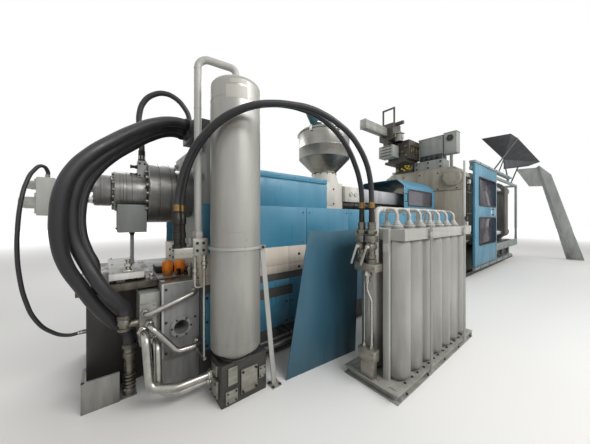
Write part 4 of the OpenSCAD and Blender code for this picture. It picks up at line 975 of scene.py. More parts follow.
# Cable trays. Two long folded channels over and under the barrel that carry the heater and
# sensor cables, which lie loose in them and climb out to each terminal box. A white supply
# box and a light duct of folded sheet are clipped to their near side.
dark_zinc = machine_paint("dark_tray_zinc", "#4a4c4e", "#5a5c5c", "#2a2826", 0.8, 1.4, 0.25, 0.5, 0.4)
fitted("cable_tray_channels", [softened("cable_trays", 0.002)], dark_zinc,
       stands_for=["cable_trays"])
parts = [block((-4.09, -0.35, 1.795), (-3.66, -0.259, 2.055), 0.006),
         block((-4.07, -0.354, 1.815), (-3.68, -0.348, 2.035), 0.002)]
for x in (-3.95, -3.82):
    parts.append(turned([(0, 0), (0, 0.03), (0.004, 0.034), (0.02, 0.034), (0.024, 0.028), (0.012, 0.024),
                         (0.012, 0)], (x, -0.354, 1.925), NEAR, 20))
fitted("barrel_supply_box", parts, cast_white)
duct_enamel = machine_paint("cable_duct_enamel", "#a9a9ac", "#b8b8ba", "#65625c", 1.75, 1.95, 0.3, 0.42, 0.3)
parts = [block((-3.6, -0.33, 1.8), (-1.15, -0.259, 2.045), 0.005)]
parts += [block((-3.54 + 0.48 * i, -0.333, 1.812), (-3.12 + 0.48 * i, -0.329, 2.033), 0.0015)
          for i in range(5)]
fitted("barrel_cable_duct", parts, duct_enamel)


def tube(points, radius, bend, sides=6):
    """A pipe or cable through its corner points, bent round a former at each corner."""
    corners = [Vector(p) for p in points]
    line = [corners[0]]
    for before, here, after in zip(corners, corners[1:], corners[2:]):
        back, on = (before - here).normalized(), (after - here).normalized()
        half = back.angle(on) / 2
        reach = 0
        if half < math.pi / 2 - 1e-4:
            reach = min(bend / math.tan(half), (before - here).length * 0.49, (after - here).length * 0.49)
        if not reach:
            line.append(here)
            continue
        centre = here + (back + on).normalized() * (reach / math.cos(half))
        start, end = here + back * reach - centre, here + on * reach - centre
        for step in range(9):
            line.append(centre + start.slerp(end, step / 8).normalized() * start.length)
    line.append(corners[-1])
    curve = bpy.data.curves.new("tube", "CURVE")
    curve.dimensions = "3D"
    spline = curve.splines.new("POLY")
    spline.points.add(len(line) - 1)
    for knot, spot in zip(spline.points, line):
        knot.co = (*spot, 1)
    curve.bevel_depth, curve.bevel_resolution, curve.use_fill_caps = radius, sides, True
    new_part("tube", curve)
    bpy.ops.object.convert(target="MESH")
    return shade(bpy.context.object)


cable_sheath, tree, shader, place = new_finish("cable_sheath")
# Black PVC cable sheath, slightly shiny, greyed by dust in patches of 80 mm.
dusty = noise(tree, place, 80, 5.0)
tone = ramp(tree, dusty, (0.35, "#1d1d1f"), (0.7, "#454341"))
dress(tree, shader, tone, 0.45)
parts = []
for k, y in enumerate((-0.225, -0.19, -0.16, -0.1, 0.05, 0.14, 0.21)):
    for z in (1.499, 2.029):
        line = [(-4.085 + 0.31 * i, y + 0.012 * math.sin(i * 1.9 + k * 2.3),
                 z + 0.004 * (k % 3) + 0.004 * math.sin(i + k)) for i in range(11)]
        parts.append(tube(line, 0.008, 0.2, 3))
for i in range(7):
    x = -3.85 + 0.48 * i
    parts.append(tube([(x, -0.1, 1.98), (x, -0.17, 1.985), (x + 0.03, -0.235, 2.03),
                       (x + 0.06, -0.235, 2.045)], 0.007, 0.04, 3))
fitted("heater_cables", parts, cable_sheath)


# Purge guard. A folded blue hood over the nozzle, with a window in a rubber gasket in each
# side, and a handle to push it back on its rails.
parts = [softened("purge_guard", 0.003)]
for s in (-1, 1):
    parts.append(outline_frame((-2.355, 1.755), (-1.185, 2.135), 0.045, 0.012, s * 0.56, s * 0.566))
fitted("purge_guard_hood", parts, blue_enamel, "nozzle_guard", ["purge_guard"])
parts = [outline_frame((-2.345, 1.765), (-1.195, 2.125), 0.04, 0.03, s * 0.56, s * 0.571) for s in (-1, 1)]
parts += [outline_frame((-2.345, 1.765), (-1.195, 2.125), 0.04, 0.03, s * 0.552, s * 0.545) for s in (-1, 1)]
fitted("purge_guard_gaskets", parts, gasket_rubber, "nozzle_guard")
parts = [block((-2.33, s * 0.553, 1.78), (-1.21, s * 0.557, 2.11), 0) for s in (-1, 1)]
fitted("purge_guard_panes", parts, tinted_pane, "nozzle_guard")
parts = [tube([(-2.44, -0.56, 1.86), (-2.44, -0.6, 1.86), (-2.44, -0.6, 2.02), (-2.44, -0.56, 2.02)], 0.008,
              0.02, 4)]
for s in (-1, 1):
    parts += bolts([(x, s * 0.56, z) for x in (-2.46, -1.08) for z in (1.69, 2.165)], (0, s, 0), 0.016)
fitted("purge_guard_handle", parts, black_oxide, "nozzle_guard")


# Injection cylinder. A stack of turned steel flanges on the injection axis, bolted end to
# end through rings of socket bolts, and carried by a thick plate that stands on the base.
drive_steel = turned_steel("oiled_turned_steel", "#8c8c8a", "#7a7a77", 0.36, 0.3)
stack = [(0, 0), (0, 0.14), (0.01, 0.15), (0.05, 0.15), (0.052, 0.147), (0.056, 0.147), (0.058, 0.15),
         (0.128, 0.15), (0.135, 0.143), (0.135, 0.12), (0.155, 0.12), (0.155, 0.189), (0.161, 0.195)]
for groove in (0.195, 0.22, 0.245, 0.29):
    stack += [(groove, 0.195), (groove + 0.0015, 0.191), (groove + 0.005, 0.191), (groove + 0.0065, 0.195)]
stack += [(0.419, 0.195), (0.425, 0.189), (0.425, 0.307), (0.433, 0.315), (0.51, 0.315), (0.513, 0.31),
          (0.519, 0.31), (0.522, 0.315), (0.612, 0.315), (0.616, 0.309), (0.622, 0.309), (0.626, 0.315),
          (0.662, 0.315), (0.67, 0.307), (0.67, 0.265), (0.76, 0.265), (0.763, 0.261), (0.768, 0.261),
          (0.771, 0.265), (0.86, 0.265), (0.86, 0)]
parts = [turned(stack, (-7.36, 0, AXIS), ONWARD, 96)]
parts += socket_bolts(ring_of(16, 0.172, -7.205), BACK, 0.03)
parts += socket_bolts(ring_of(20, 0.262, -6.935, start=0.1), BACK, 0.044)
parts += socket_bolts(ring_of(8, 0.105, -7.36, start=0.2), BACK, 0.024)
parts += socket_bolts(ring_of(16, 0.29, -6.69, start=0.1), ONWARD, 0.036)
fitted("injection_cylinder_stack", parts, drive_steel, stands_for=["injection_cylinder"])
plate = [block((-6.5, -0.64, 1.19), (-6.3, 0.64, 2.3), 0.008)]
for y in (-0.54, 0.54):
    plate += bolts([(-6.5, y, z) for z in (1.32, 1.62, 1.92, 2.2)], BACK, 0.055)
fitted("injection_cylinder_plate", plate, sheet_enamel)


# Drive end. Four tie rods hold the light grey gear and encoder block behind the cylinder,
# with a small hydraulic motor and its line fittings on the end.
parts = [block((-7.72, -0.13, 1.53), (-7.605, 0.13, 1.85), 0.008),
         block((-7.735, -0.09, 1.56), (-7.719, 0.09, 1.72), 0.004)]
parts.append(turned([(0, 0), (0, 0.04), (0.006, 0.046), (0.03, 0.046), (0.034, 0.05), (0.105, 0.05),
                     (0.115, 0.05), (0.115, 0)], (-7.835, 0, 1.64), ONWARD, 32))
parts.append(turned([(0, 0), (0, 0.03), (0.004, 0.034), (0.02, 0.034), (0.022, 0.038), (0.07, 0.038),
                     (0.07, 0)], (-7.79, 0, 1.79), ONWARD, 32))
parts += bolts([(-7.72, y, z) for y in (-0.105, 0.105) for z in (1.555, 1.69, 1.825)], BACK, 0.018)
fitted("drive_end_block", parts, light_enamel, stands_for=["drive_end"])
parts = [rod((-7.61, y, z), (-7.358, y, z), 0.022, 20) for y in (-0.07, 0.07) for z in (1.68, 1.8)]
parts += [turned([(0, 0), (0, 0.03), (0.016, 0.033), (0.022, 0.033), (0.022, 0.022)], (-7.605, y, z), ONWARD,
                 6) for y in (-0.07, 0.07) for z in (1.68, 1.8)]
parts += [turned([(0, 0), (0, 0.03), (0.02, 0.033), (0.026, 0.033), (0.026, 0.022)], (-7.386, y, z), ONWARD,
                 6) for y in (-0.07, 0.07) for z in (1.68, 1.8)]
fitted("drive_end_rods", parts, chromed_bar)


# Top valve block and junction box. The block feeds the U hose from the top of the cylinder;
# the grey box below takes the sensor cables down through its pipe.
fitted("top_valve_body", [softened("top_valve_block", 0.006, 2)], light_enamel,
       stands_for=["top_valve_block"])
parts = [turned([(0, 0), (0, 0.034), (0.022, 0.034), (0.022, 0.031), (0.06, 0.031), (0.06, 0)],
                (-6.976, -0.08, 2.09), UP, 6)]
for z in (1.95, 2.03):
    parts.append(turned([(0, 0), (0, 0.02), (0.014, 0.02), (0.018, 0.015), (0.045, 0.015), (0.047, 0.018),
                         (0.06, 0.018), (0.06, 0)], (-7.015, -0.08, z), BACK, 8))
parts += bolts([(x, -0.13, z) for x in (-7.0, -6.955) for z in (1.94, 2.06)], NEAR, 0.014)
fitted("top_valve_fittings", parts, black_oxide)
parts = [softened("junction_box", 0.014, 3)]
parts += [block((-7.1845, -0.185, 1.39), (-7.178, 0.005, 1.6), 0.003)]
fitted("junction_box_case", parts, sheet_enamel, stands_for=["junction_box"])
parts = bolts([(-7.1845, y, z) for y in (-0.17, -0.01) for z in (1.405, 1.585)], BACK, 0.012)
parts += [turned([(0, 0), (0, 0.024), (0.02, 0.024), (0.024, 0.018), (0.036, 0.018), (0.036, 0)],
                 (-7.06, -0.09, 1.372), DOWN, 8)]
fitted("junction_box_gland", parts, black_oxide)


# Hose manifold. A ported steel block on the injection platen that gathers the drive hoses,
# with a hexagon under each of their ends.
parts = [softened("hose_manifold", 0.006, 2)]
parts += bolts([(x, y, 2.47) for x in (-6.57, -6.36) for y in (-0.61, -0.4, -0.19)], UP, 0.026)
for y, z in ((-0.54, 2.41), (-0.425, 2.385), (-0.32, 2.36)):
    parts.append(turned([(0, 0), (0, 0.056 if y < -0.4 else 0.044), (0.016, 0.056 if y < -0.4 else 0.044),
                         (0.016, 0.03)], (-6.6, y, z), BACK, 6))
fitted("hose_manifold_block", parts, dark_enamel, stands_for=["hose_manifold"])


# Deck fittings. A folded tray plate with a white front lip, two ribbed orange caps on their
# filters, and small ported blocks with silver fittings, all standing on the oily deck.
deck_top = 0.963  # the oily plate's upper face
parts = [softened("tray_plate", 0.002)]
for x in (-7.22, -7.04):
    parts += bolts([(x, y, 1.05) for y in (-0.52, -0.05, 0.39)], UP, 0.016)
fitted("deck_tray_plate", parts, light_enamel, stands_for=["tray_plate"])
lip_white = machine_paint("white_lip_enamel", "#d8d7d1", "#e4e3de", "#8d8778", 0.95, 1.03, 0.35, 0.42, 0.5)
fitted("deck_tray_lip", [block((-7.252, -0.5675, 0.999), (-7.008, -0.5645, 1.051), 0.001)], lip_white)

orange_plastic, tree, shader, place = new_finish("moulded_orange_plastic")
# Moulded polypropylene caps: strong orange bleached in patches, a soft sheen and oil in the ribs.
faded = noise(tree, place, 45, 5.0)
part = add(tree, "SeparateXYZ", None, {0: place})
tone = ramp(tree, faded, (0.3, "#f5820f"), (0.7, "#ffa63a"))
foot = spread(tree, part.outputs["Z"], 0.96, 1.01, 0.75, 0.0)
oiled = blend(tree, foot, tone, tint("#4a2f18"))
sheen = spread(tree, faded, 0.3, 0.7, 0.32, 0.5)
dress(tree, shader, oiled, sheen)
cap_outline = [(0, 0), (0, 0.044), (0.012, 0.044), (0.014, 0.0405), (0.03, 0.0405), (0.032, 0.043),
               (0.12, 0.043), (0.13, 0.0405), (0.137, 0.034), (0.138, 0.02), (0.135, 0.017), (0.135, 0)]
parts = []
for x, y in ((-6.8, -0.42), (-6.7, -0.45)):
    parts.append(turned(cap_outline, (x, y, deck_top), UP, 36))
    rib = block((0.04, -0.0025, 0.036), (0.047, 0.0025, 0.122), 0.001)
    parts += copies(rib, [shift((x, y, deck_top)) @ Matrix.Rotation(2 * math.pi * k / 24, 4, "Z")
                          for k in range(24)])
fitted("orange_filter_caps", parts, orange_plastic, stands_for=["orange_caps"])


def stacked_fitting(foot, sizes, sides=6):
    """A pipe fitting of hexagons and collars, standing on foot, given as (height, radius)."""
    parts, z = [], foot[2]
    for high, radius in sizes:
        flats = sides if radius > sizes[0][1] * 0.8 else 20
        rim = min(high, radius) * 0.15
        parts.append(turned([(0, 0), (0, radius - rim), (rim, radius), (high - rim, radius),
                             (high, radius - rim), (high, 0)], (foot[0], foot[1], z), UP, flats))
        z += high
    return parts


parts = stacked_fitting((-7.12, -0.5, 1.05), [(0.02, 0.03), (0.022, 0.02), (0.03, 0.028), (0.02, 0.016),
                                              (0.018, 0.022)])
parts += stacked_fitting((-6.62, -0.5, deck_top), [(0.02, 0.026), (0.03, 0.015), (0.026, 0.022),
                                                   (0.03, 0.012)])
parts += stacked_fitting((-6.95, -0.52, deck_top), [(0.016, 0.022), (0.02, 0.014), (0.016, 0.018)])
parts += [block((-7.155, -0.535, 1.05), (-7.085, -0.465, 1.062), 0.002)]
parts += stacked_fitting((-6.65, -0.6, deck_top), [(0.014, 0.018), (0.03, 0.011), (0.022, 0.017),
                                                   (0.016, 0.01)])
fitted("deck_fittings", parts, plated)
parts = []
for x, y in ((-6.66, -0.535), (-6.72, -0.5), (-6.64, -0.44)):
    parts.append(turned([(0, 0), (0, 0.018), (0.02, 0.018), (0.026, 0.012), (0.03, 0.012), (0.036, 0.018),
                         (0.048, 0.022), (0.06, 0.018), (0.066, 0)], (x, y, deck_top), UP, 20))
parts += [block((-7.05, -0.5, deck_top), (-6.99, -0.4, 1.0), 0.004),
          block((-6.88, -0.3, deck_top), (-6.62, -0.1, 1.03), 0.006)]
fitted("deck_blocks", parts, black_nipple)


# End box. A grey painted tank end with a round flanged port, a light strip down its edge,
# a scratch-worn face, and a dark channel foot under it.
tank_enamel = machine_paint("tank_grey_enamel", "#8a8b8a", "#989996", "#4c4841", 0.1, 0.6, 0.45, 0.42, 0.55)
parts = [softened("end_box", 0.006, 2)]
parts += [block((-6.903, -0.738, 0.33), (-6.885, -0.733, 0.955), 0.0015),
          block((-6.62, -0.738, 0.33), (-6.602, -0.733, 0.955), 0.0015),
          block((-6.903, -0.738, 0.945), (-6.602, -0.733, 0.961), 0.0015)]
parts.append(turned([(0, 0.06), (0, 0.088), (0.004, 0.092), (0.008, 0.092), (0.011, 0.088), (0.011, 0.064),
                     (0.008, 0.06), (0, 0.06)], (-6.751, -0.738, 0.558), NEAR, 48))
fitted("tank_end_shell", parts, tank_enamel, stands_for=["end_box"])
fitted("tank_end_top", [block((-6.9025, -0.7385, 0.954), (-6.6005, -0.566, 0.9645), 0.002)], oily_plate)
strip_white = machine_paint("worn_edge_strip", "#b3b4b2", "#c3c4c1", "#77746b", 0.3, 0.6, 0.35, 0.42, 0.3)
fitted("tank_edge_strip", [block((-6.9035, -0.74, 0.33), (-6.888, -0.7375, 0.953), 0.001),
                           block((-6.888, -0.7395, 0.9455), (-6.602, -0.7375, 0.953), 0.001)], strip_white)
parts = bolts([(-6.751 + 0.077 * math.cos(math.pi / 3 * k), -0.749,
                0.558 + 0.077 * math.sin(math.pi / 3 * k)) for k in range(6)], NEAR, 0.013)
parts += bolts([(x, -0.735, z) for x in (-6.87, -6.635) for z in (0.36, 0.62, 0.9)], NEAR, 0.016)
fitted("tank_end_screws", parts, black_oxide)
parts = [block((-6.8845, -0.7025, 0.005), (-6.6165, -0.699, 0.078), 0.002)]
fitted("tank_foot_channel", parts, base_enamel)


# Tube manifold and bent tubes. A drilled block beside the tank end, from which four cold
# drawn steel tubes are bent round to the tank and along the base, held by union nuts.
parts = [softened("tube_manifold", 0.006, 2)]
manifold_enamel = machine_paint("manifold_grey_enamel", "#9d9d98", "#b0b0aa", "#55524a", 0.3, 0.8, 0.4, 0.4,
                                0.45)
parts += bolts([(x, -0.7, z) for x in (-7.045, -6.95) for z in (0.54, 0.79)], NEAR, 0.018)
fitted("tube_manifold_block", parts, manifold_enamel, stands_for=["tube_manifold"])
drawn_tube = turned_steel("drawn_steel_tube", "#b0afa9", "#9b9992", 0.3, 0.4, "Y", 0.95, 0.03)
runs = [([(-7.02, -0.7, 0.74), (-7.02, -0.8, 0.74), (-6.65, -0.805, 0.86), (-6.65, -0.735, 0.86)], 0.0215,
         0.06), ([(-6.99, -0.7, 0.64), (-6.99, -0.8, 0.64), (-6.8, -0.83, 0.4), (-6.624, -0.83, 0.4),
                  (-6.624, -0.735, 0.4)], 0.0235, 0.07), ([(-7.03, -0.7, 0.59), (-7.03, -0.84, 0.59),
                                                           (-7.01, -0.89, 0.21), (-6.84, -0.985, 0.2),
                                                           (-6.56, -0.985, 0.2)], 0.031, 0.075),
        ([(-6.945, -0.67, 0.49), (-6.945, -0.8, 0.49), (-6.945, -0.86, 0.15), (-6.82, -0.955, 0.14),
          (-6.56, -0.955, 0.14)], 0.029, 0.075)]
fitted("bent_steel_tubes", [tube(points, radius, bend, 8) for points, radius, bend in runs], drawn_tube,
       stands_for=["bent_tubes"])
parts = []
for points, radius, _ in runs:
    for foot, after in ((points[0], points[1]), (points[-1], points[-2])):
        way = (Vector(after) - Vector(foot)).normalized()
        parts.append(turned([(0, radius - 0.002), (0, radius * 1.4), (0.004, radius * 1.5),
                             (0.024, radius * 1.5), (0.03, radius * 1.3), (0.034, radius - 0.002),
                             (0, radius - 0.002)], foot, way, 6))
        parts.append(turned([(0.034, radius - 0.002), (0.034, radius * 1.25), (0.046, radius * 1.15),
                             (0.05, radius - 0.002), (0.034, radius - 0.002)], foot, way, 20))
fitted("bent_tube_nuts", parts, plated)


# Drip sheet. Folded sheet set on the floor under the hose feet to catch the oil, with its face
# stained.
parts = [softened("drip_sheet", 0.0015), block((-7.4205, -0.5605, 0.236), (-7.18, -0.54, 0.2405), 0.001),
         block((-7.4205, -0.5605, 0.236), (-7.4, -0.31, 0.2405), 0.001)]
drip_zinc = machine_paint("stained_drip_sheet", "#8d8d88", "#a2a29c", "#4c4840", 0.0, 0.16, 0.3, 0.4, 0.55)
fitted("drip_sheet_folded", parts, drip_zinc, stands_for=["drip_sheet"])


# Hose feet. Coupling stubs that the drive hoses come down on: stacked flanges of different
# widths with a plated swivel nut on top.
stub = [(0, 0), (0, 0.046), (0.04, 0.046), (0.05, 0.034)]
for k in range(4):
    z = 0.07 + 0.028 * k
    stub += [(z, 0.034), (z, 0.048), (z + 0.014, 0.048), (z + 0.014, 0.034)]
stub += [(0.2, 0.034), (0.2, 0.04), (0.26, 0.04), (0.262, 0.036), (0.31, 0.036), (0.312, 0.047),
         (0.35, 0.047), (0.354, 0.04), (0.388, 0.04), (0.388, 0)]
parts = [turned(stub, (-7.11, -0.5, 0.012), UP, 28)]
parts.append(turned([(0, 0), (0, 0.047), (0.02, 0.047), (0.022, 0.038), (0.045, 0.038), (0.047, 0.047),
                     (0.082, 0.047), (0.09, 0.042), (0.09, 0)], (-7.15, -0.62, 0.6), UP, 28))
parts.append(turned([(0, 0), (0, 0.03), (0.07, 0.03), (0.07, 0.036), (0.1, 0.036), (0.1, 0)],
                    (-7.15, -0.62, 0.64), ONWARD, 20))
parts.append(turned([(0, 0), (0, 0.04), (0.012, 0.04), (0.014, 0.033), (0.04, 0.033), (0.042, 0.039),
                     (0.07, 0.039), (0.077, 0.034), (0.077, 0)], (-7.335, -0.495, deck_top), UP, 24))
parts.append(turned([(0, 0), (0, 0.018), (0.015, 0.018), (0.025, 0.018), (0.025, 0)], (-7.425, -0.25, 0.53),
                    ONWARD, 12))
fitted("hose_feet_turned", parts, oily_zinc, stands_for=["hose_feet"])


# Gas accumulator. A tall rolled and welded steel shell with pressed ends and a screwed cap,
# painted grey, that stores the pressure for the injection stroke.
shell = [(0, 0), (0, 0.12), (0.012, 0.12), (0.06, 0.12), (0.06, 0.15), (0.063, 0.182), (0.071, 0.199),
         (0.086, 0.208), (0.102, 0.21), (0.11, 0.21)]
for seam in (0.16, 1.05, 2.13):
    shell += [(seam, 0.21), (seam + 0.0006, 0.2088), (seam + 0.005, 0.2088), (seam + 0.0056, 0.21)]
shell += [(2.25, 0.21), (2.262, 0.21), (2.276, 0.208), (2.288, 0.202), (2.299, 0.191), (2.306, 0.174),
          (2.31, 0.15), (2.31, 0.086), (2.313, 0.083), (2.354, 0.083), (2.36, 0.079), (2.36, 0)]
shell_x, shell_y = -6.385, -1.05  # where the shell stands
parts = [turned(shell, (shell_x, shell_y, 0.34), UP, 96)]
parts += bolts([(shell_x + 0.108 * math.cos(a * math.pi / 5), shell_y + 0.108 * math.sin(a * math.pi / 5),
                 2.65) for a in range(10)], UP, 0.024)
shell_enamel = machine_paint("accumulator_aluminium_paint", "#9b9a94", "#a8a7a1", "#5f5c54", 0.3, 1.0, 0.5,
                             0.36, 0.22)
shell_enamel.node_tree.nodes["Principled BSDF"].inputs["Metallic"].default_value = 0.4
fitted("accumulator_shell", parts, shell_enamel, stands_for=["accumulator"])


def curved_plate(turn, wide, low, high, thick):
    """A thin plate bent to the shell and stuck on it, facing the way it is turned."""
    plate = turned([(low, 0.2102), (low, 0.2102 + thick), (high, 0.2102 + thick), (high, 0.2102),
                    (low, 0.2102)], (0, 0, 0), UP, 96)
    window = block((0.15, -wide / 2, low - 0.01), (0.25, wide / 2, high + 0.01), 0)
    carve(plate, window, "INTERSECT")
    plate.data.transform(shift((shell_x, shell_y, 0)) @ Matrix.Rotation(turn, 4, "Z"))
    return plate


foil, tree, shader, place = new_finish("blank_foil_plate")
# Self-adhesive aluminium foil, left blank: pale and a little wrinkled.
crease = noise(tree, place, 150, 2.0)
tone = ramp(tree, crease, (0.3, "#b6b4ab"), (0.7, "#c0beb5"))
dress(tree, shader, tone, 0.45, crease, 0.1, 0.001)
fitted("accumulator_blank_plates", [curved_plate(-1.96, 0.168, 2.455, 2.555, 0.0006),
                                    curved_plate(-1.9, 0.13, 2.57, 2.6, 0.0012)], foil)


# Clamp ring and leg. A rolled band in two halves round the shell, pinched by bolts, with a
# flat bar leg slanting to the floor and a lug that the gas blocks hang from.
parts = [softened("accumulator_leg", 0.002)]
parts.append(turned([(0, 0.2105), (0, 0.218), (0.003, 0.2225), (0.01, 0.2245), (0.019, 0.2225),
                     (0.022, 0.218), (0.022, 0.2105), (0, 0.2105)], (shell_x, shell_y, 1.249), UP, 72))
for turn in (-0.72, 2.42):
    lug = joined([block((0.218, -0.02, -0.016), (0.256, -0.006, 0.016), 0.002),
                  block((0.218, 0.006, -0.016), (0.256, 0.02, 0.016), 0.002)])
    parts += copies(lug, [shift((shell_x, shell_y, 1.26)) @ Matrix.Rotation(turn, 4, "Z")])
ring_enamel = machine_paint("clamp_ring_enamel", "#a2a29e", "#b0b0ac", "#77736a", 0.0, 0.5, 0.3, 0.34, 0.2)
fitted("accumulator_clamp_ring", parts, ring_enamel, stands_for=["accumulator_leg"])
parts = []
for turn in (-0.72, 2.42):
    way = Vector((-math.sin(turn), math.cos(turn), 0))
    spot = Vector((shell_x, shell_y, 1.26)) + Vector((math.cos(turn), math.sin(turn), 0)) * 0.243
    parts.append(rod(spot - way * 0.032, spot + way * 0.032, 0.006, 12))
    parts += bolts([tuple(spot + way * 0.02)], tuple(way), 0.018) + bolts([tuple(spot - way * 0.02)],
                                                                          tuple(-way), 0.018)
parts += bolts([(x, y, 0.008) for x in (-6.105, -6.035) for y in (-1.215, -1.145)], UP, 0.018)
fitted("accumulator_clamp_bolts", parts, black_oxide)


# Accumulator block. A forged valve block under the shell, with cover plates of different
# sizes screwed to its faces and two pipes that run back under the base.
block_steel = turned_steel("phosphated_valve_block", "#4c4b48", "#373634", 0.42, 0.35, "Z", 0.6)
parts = [block((-6.56, -1.17, 0), (-6.15, -0.93, 0.34), 0.006)]
parts += [turned([(0, 0), (0, 0.14), (0.02, 0.14), (0.026, 0.134), (0.026, 0)], (shell_x, shell_y, 0.325), UP,
                 48)]
for y in (-0.985, -1.08):
    x_end = -5.7 + (y + 0.985) * 0.6
    parts.append(tube([(-6.15, y, 0.29), (x_end, y, 0.29), (x_end, -0.8, 0.29)], 0.024, 0.07, 8))
    parts.append(turned([(0, 0.02), (0, 0.042), (0.034, 0.042), (0.04, 0.03), (0.04, 0.02), (0, 0.02)],
                        (-6.15, y, 0.29), ONWARD, 6))
fitted("accumulator_valve_block", parts, block_steel, stands_for=["accumulator_block"])
parts = [block((-6.4, -1.19, 0.06), (-6.25, -1.169, 0.26), 0.004),
         block((-6.23, -1.185, 0.12), (-6.165, -1.169, 0.22), 0.003),
         block((-6.53, -1.188, 0.03), (-6.43, -1.169, 0.13), 0.003),
         block((-6.582, -1.12, 0.06), (-6.559, -0.98, 0.2), 0.004),
         block((-6.578, -1.1, 0.23), (-6.559, -1.0, 0.31), 0.003),
         block((-6.51, -1.184, 0.17), (-6.43, -1.169, 0.31), 0.003)]
cover_steel = turned_steel("oily_cover_plate", "#a3a198", "#84827a", 0.36, 0.5, "Z", 0.8)
fitted("accumulator_block_covers", parts, cover_steel)
parts = socket_bolts([(x, -1.19, z) for x in (-6.385, -6.265) for z in (0.08, 0.24)], NEAR, 0.02)
parts += socket_bolts([(x, -1.185, z) for x in (-6.218, -6.178) for z in (0.135, 0.205)], NEAR, 0.012)
parts += socket_bolts([(x, -1.188, z) for x in (-6.515, -6.445) for z in (0.045, 0.115)], NEAR, 0.014)
parts += socket_bolts([(-6.582, y, z) for y in (-1.105, -0.995) for z in (0.08, 0.18)], BACK, 0.018)
fitted("accumulator_block_screws", parts, black_oxide)


# Gas pipe. Thick-walled tube up the shell's side and over into its cap, painted light grey,
# with a welded collar at each bend and a heavy union at either end.
pipe_enamel = machine_paint("gas_pipe_enamel", "#adaca7", "#bab9b4", "#7a766b", 1.2, 1.7, 0.3, 0.34, 0.2)
line = [(-6.664, -0.915, 1.34), (-6.664, -0.915, 2.86), (shell_x, shell_y, 2.797), (shell_x, shell_y, 2.7)]
parts = [tube(line, 0.03, 0.076, 10)]
for foot, along, high in (((-6.664, -0.915, 1.34), UP, 0.05), ((shell_x, shell_y, 2.7), UP, 0.03)):
    parts.append(turned([(0, 0.027), (0, 0.043), (0.005, 0.046), (high - 0.005, 0.046), (high, 0.043),
                         (high + 0.01, 0.033), (high + 0.01, 0.027), (0, 0.027)], foot, along,
                        6 if high > 0.04 else 28))
for z in (1.62, 2.42, 2.755):
    parts.append(turned([(0, 0.028), (0, 0.0305), (0.003, 0.0322), (0.007, 0.0322), (0.01, 0.0305),
                         (0.01, 0.028), (0, 0.028)], (-6.664, -0.915, z), UP, 28))
parts += [block((-6.682, -0.9, 1.9), (-6.646, -0.8, 1.94), 0.003)]
fitted("gas_pipe_bent", parts, pipe_enamel, stands_for=["gas_pipe"])


# Gas valve block. Two drilled blocks on the clamp ring that join the pipe, both gas hoses and
# a chain of reducing fittings, from which a thin pipe drops to the foot of the tank end.
parts = [block((-6.715, -0.95, 1.2), (-6.59, -0.835, 1.34), 0.006),
         block((-6.86, -0.985, 1.19), (-6.715, -0.825, 1.27), 0.006)]
parts += [block((-6.706, -0.956, 1.215), (-6.602, -0.948, 1.325), 0.002)]
valve_silver = turned_steel("sprayed_valve_block", "#a9a7a0", "#94928b", 0.4, 0.3, "Z", 0.6, 0.04)
fitted("gas_valve_body", parts, valve_silver, stands_for=["gas_valve_block"])
parts = []
for x, y in ((-6.83, -0.945), (-6.78, -0.87)):
    parts.append(turned([(0, 0), (0, 0.036), (0.03, 0.036), (0.032, 0.026), (0.07, 0.026), (0.072, 0.034),
                         (0.125, 0.034), (0.127, 0.029), (0.185, 0.029), (0.187, 0.036), (0.25, 0.036),
                         (0.256, 0.033), (0.29, 0.033), (0.29, 0)], (x, y, 1.27), UP, 24))
parts += [turned([(0, 0), (0, 0.012), (0.006, 0.012), (0.006, 0.009), (0, 0)], (x, -0.956, z), NEAR, 16)
          for x in (-6.68, -6.63) for z in (1.24, 1.3)]
parts += socket_bolts([(-6.86, y, z) for y in (-0.965, -0.845) for z in (1.205, 1.255)], BACK, 0.014)
fitted("gas_valve_nipples", parts, black_nipple)
chain = [(0, 0), (0, 0.01), (0.755, 0.01), (0.755, 0.016), (0.765, 0.022), (0.785, 0.022), (0.787, 0.015),
         (0.795, 0.015), (0.797, 0.026), (0.82, 0.026), (0.822, 0.018), (0.832, 0.018), (0.834, 0.022),
         (0.875, 0.022), (0.88, 0.016), (0.88, 0)]
parts = [turned(chain, (-6.615, -0.925, 0.32), UP, 20),
         turned([(0, 0), (0, 0.014), (0.02, 0.014), (0.02, 0.01), (0.185, 0.01), (0.185, 0.018),
                 (0.205, 0.018), (0.205, 0)], (-6.615, -0.94, 0.32), FAR, 16)]
chain = [(0, 0), (0, 0.012), (0.03, 0.012), (0.032, 0.019), (0.075, 0.019), (0.077, 0.013), (0.092, 0.013),
         (0.094, 0.023), (0.125, 0.023), (0.127, 0.015), (0.15, 0.015), (0.152, 0.02), (0.168, 0.02),
         (0.17, 0.014), (0.222, 0.014), (0.222, 0)]
parts.append(turned(chain, (-6.69, -0.93, 0.97), UP, 8))
parts.append(tube([(-6.69, -0.93, 0.98), (-6.69, -0.93, 0.93), (-6.625, -0.925, 0.93)], 0.009, 0.02, 4))
fitted("gas_drain_fittings", parts, plated)


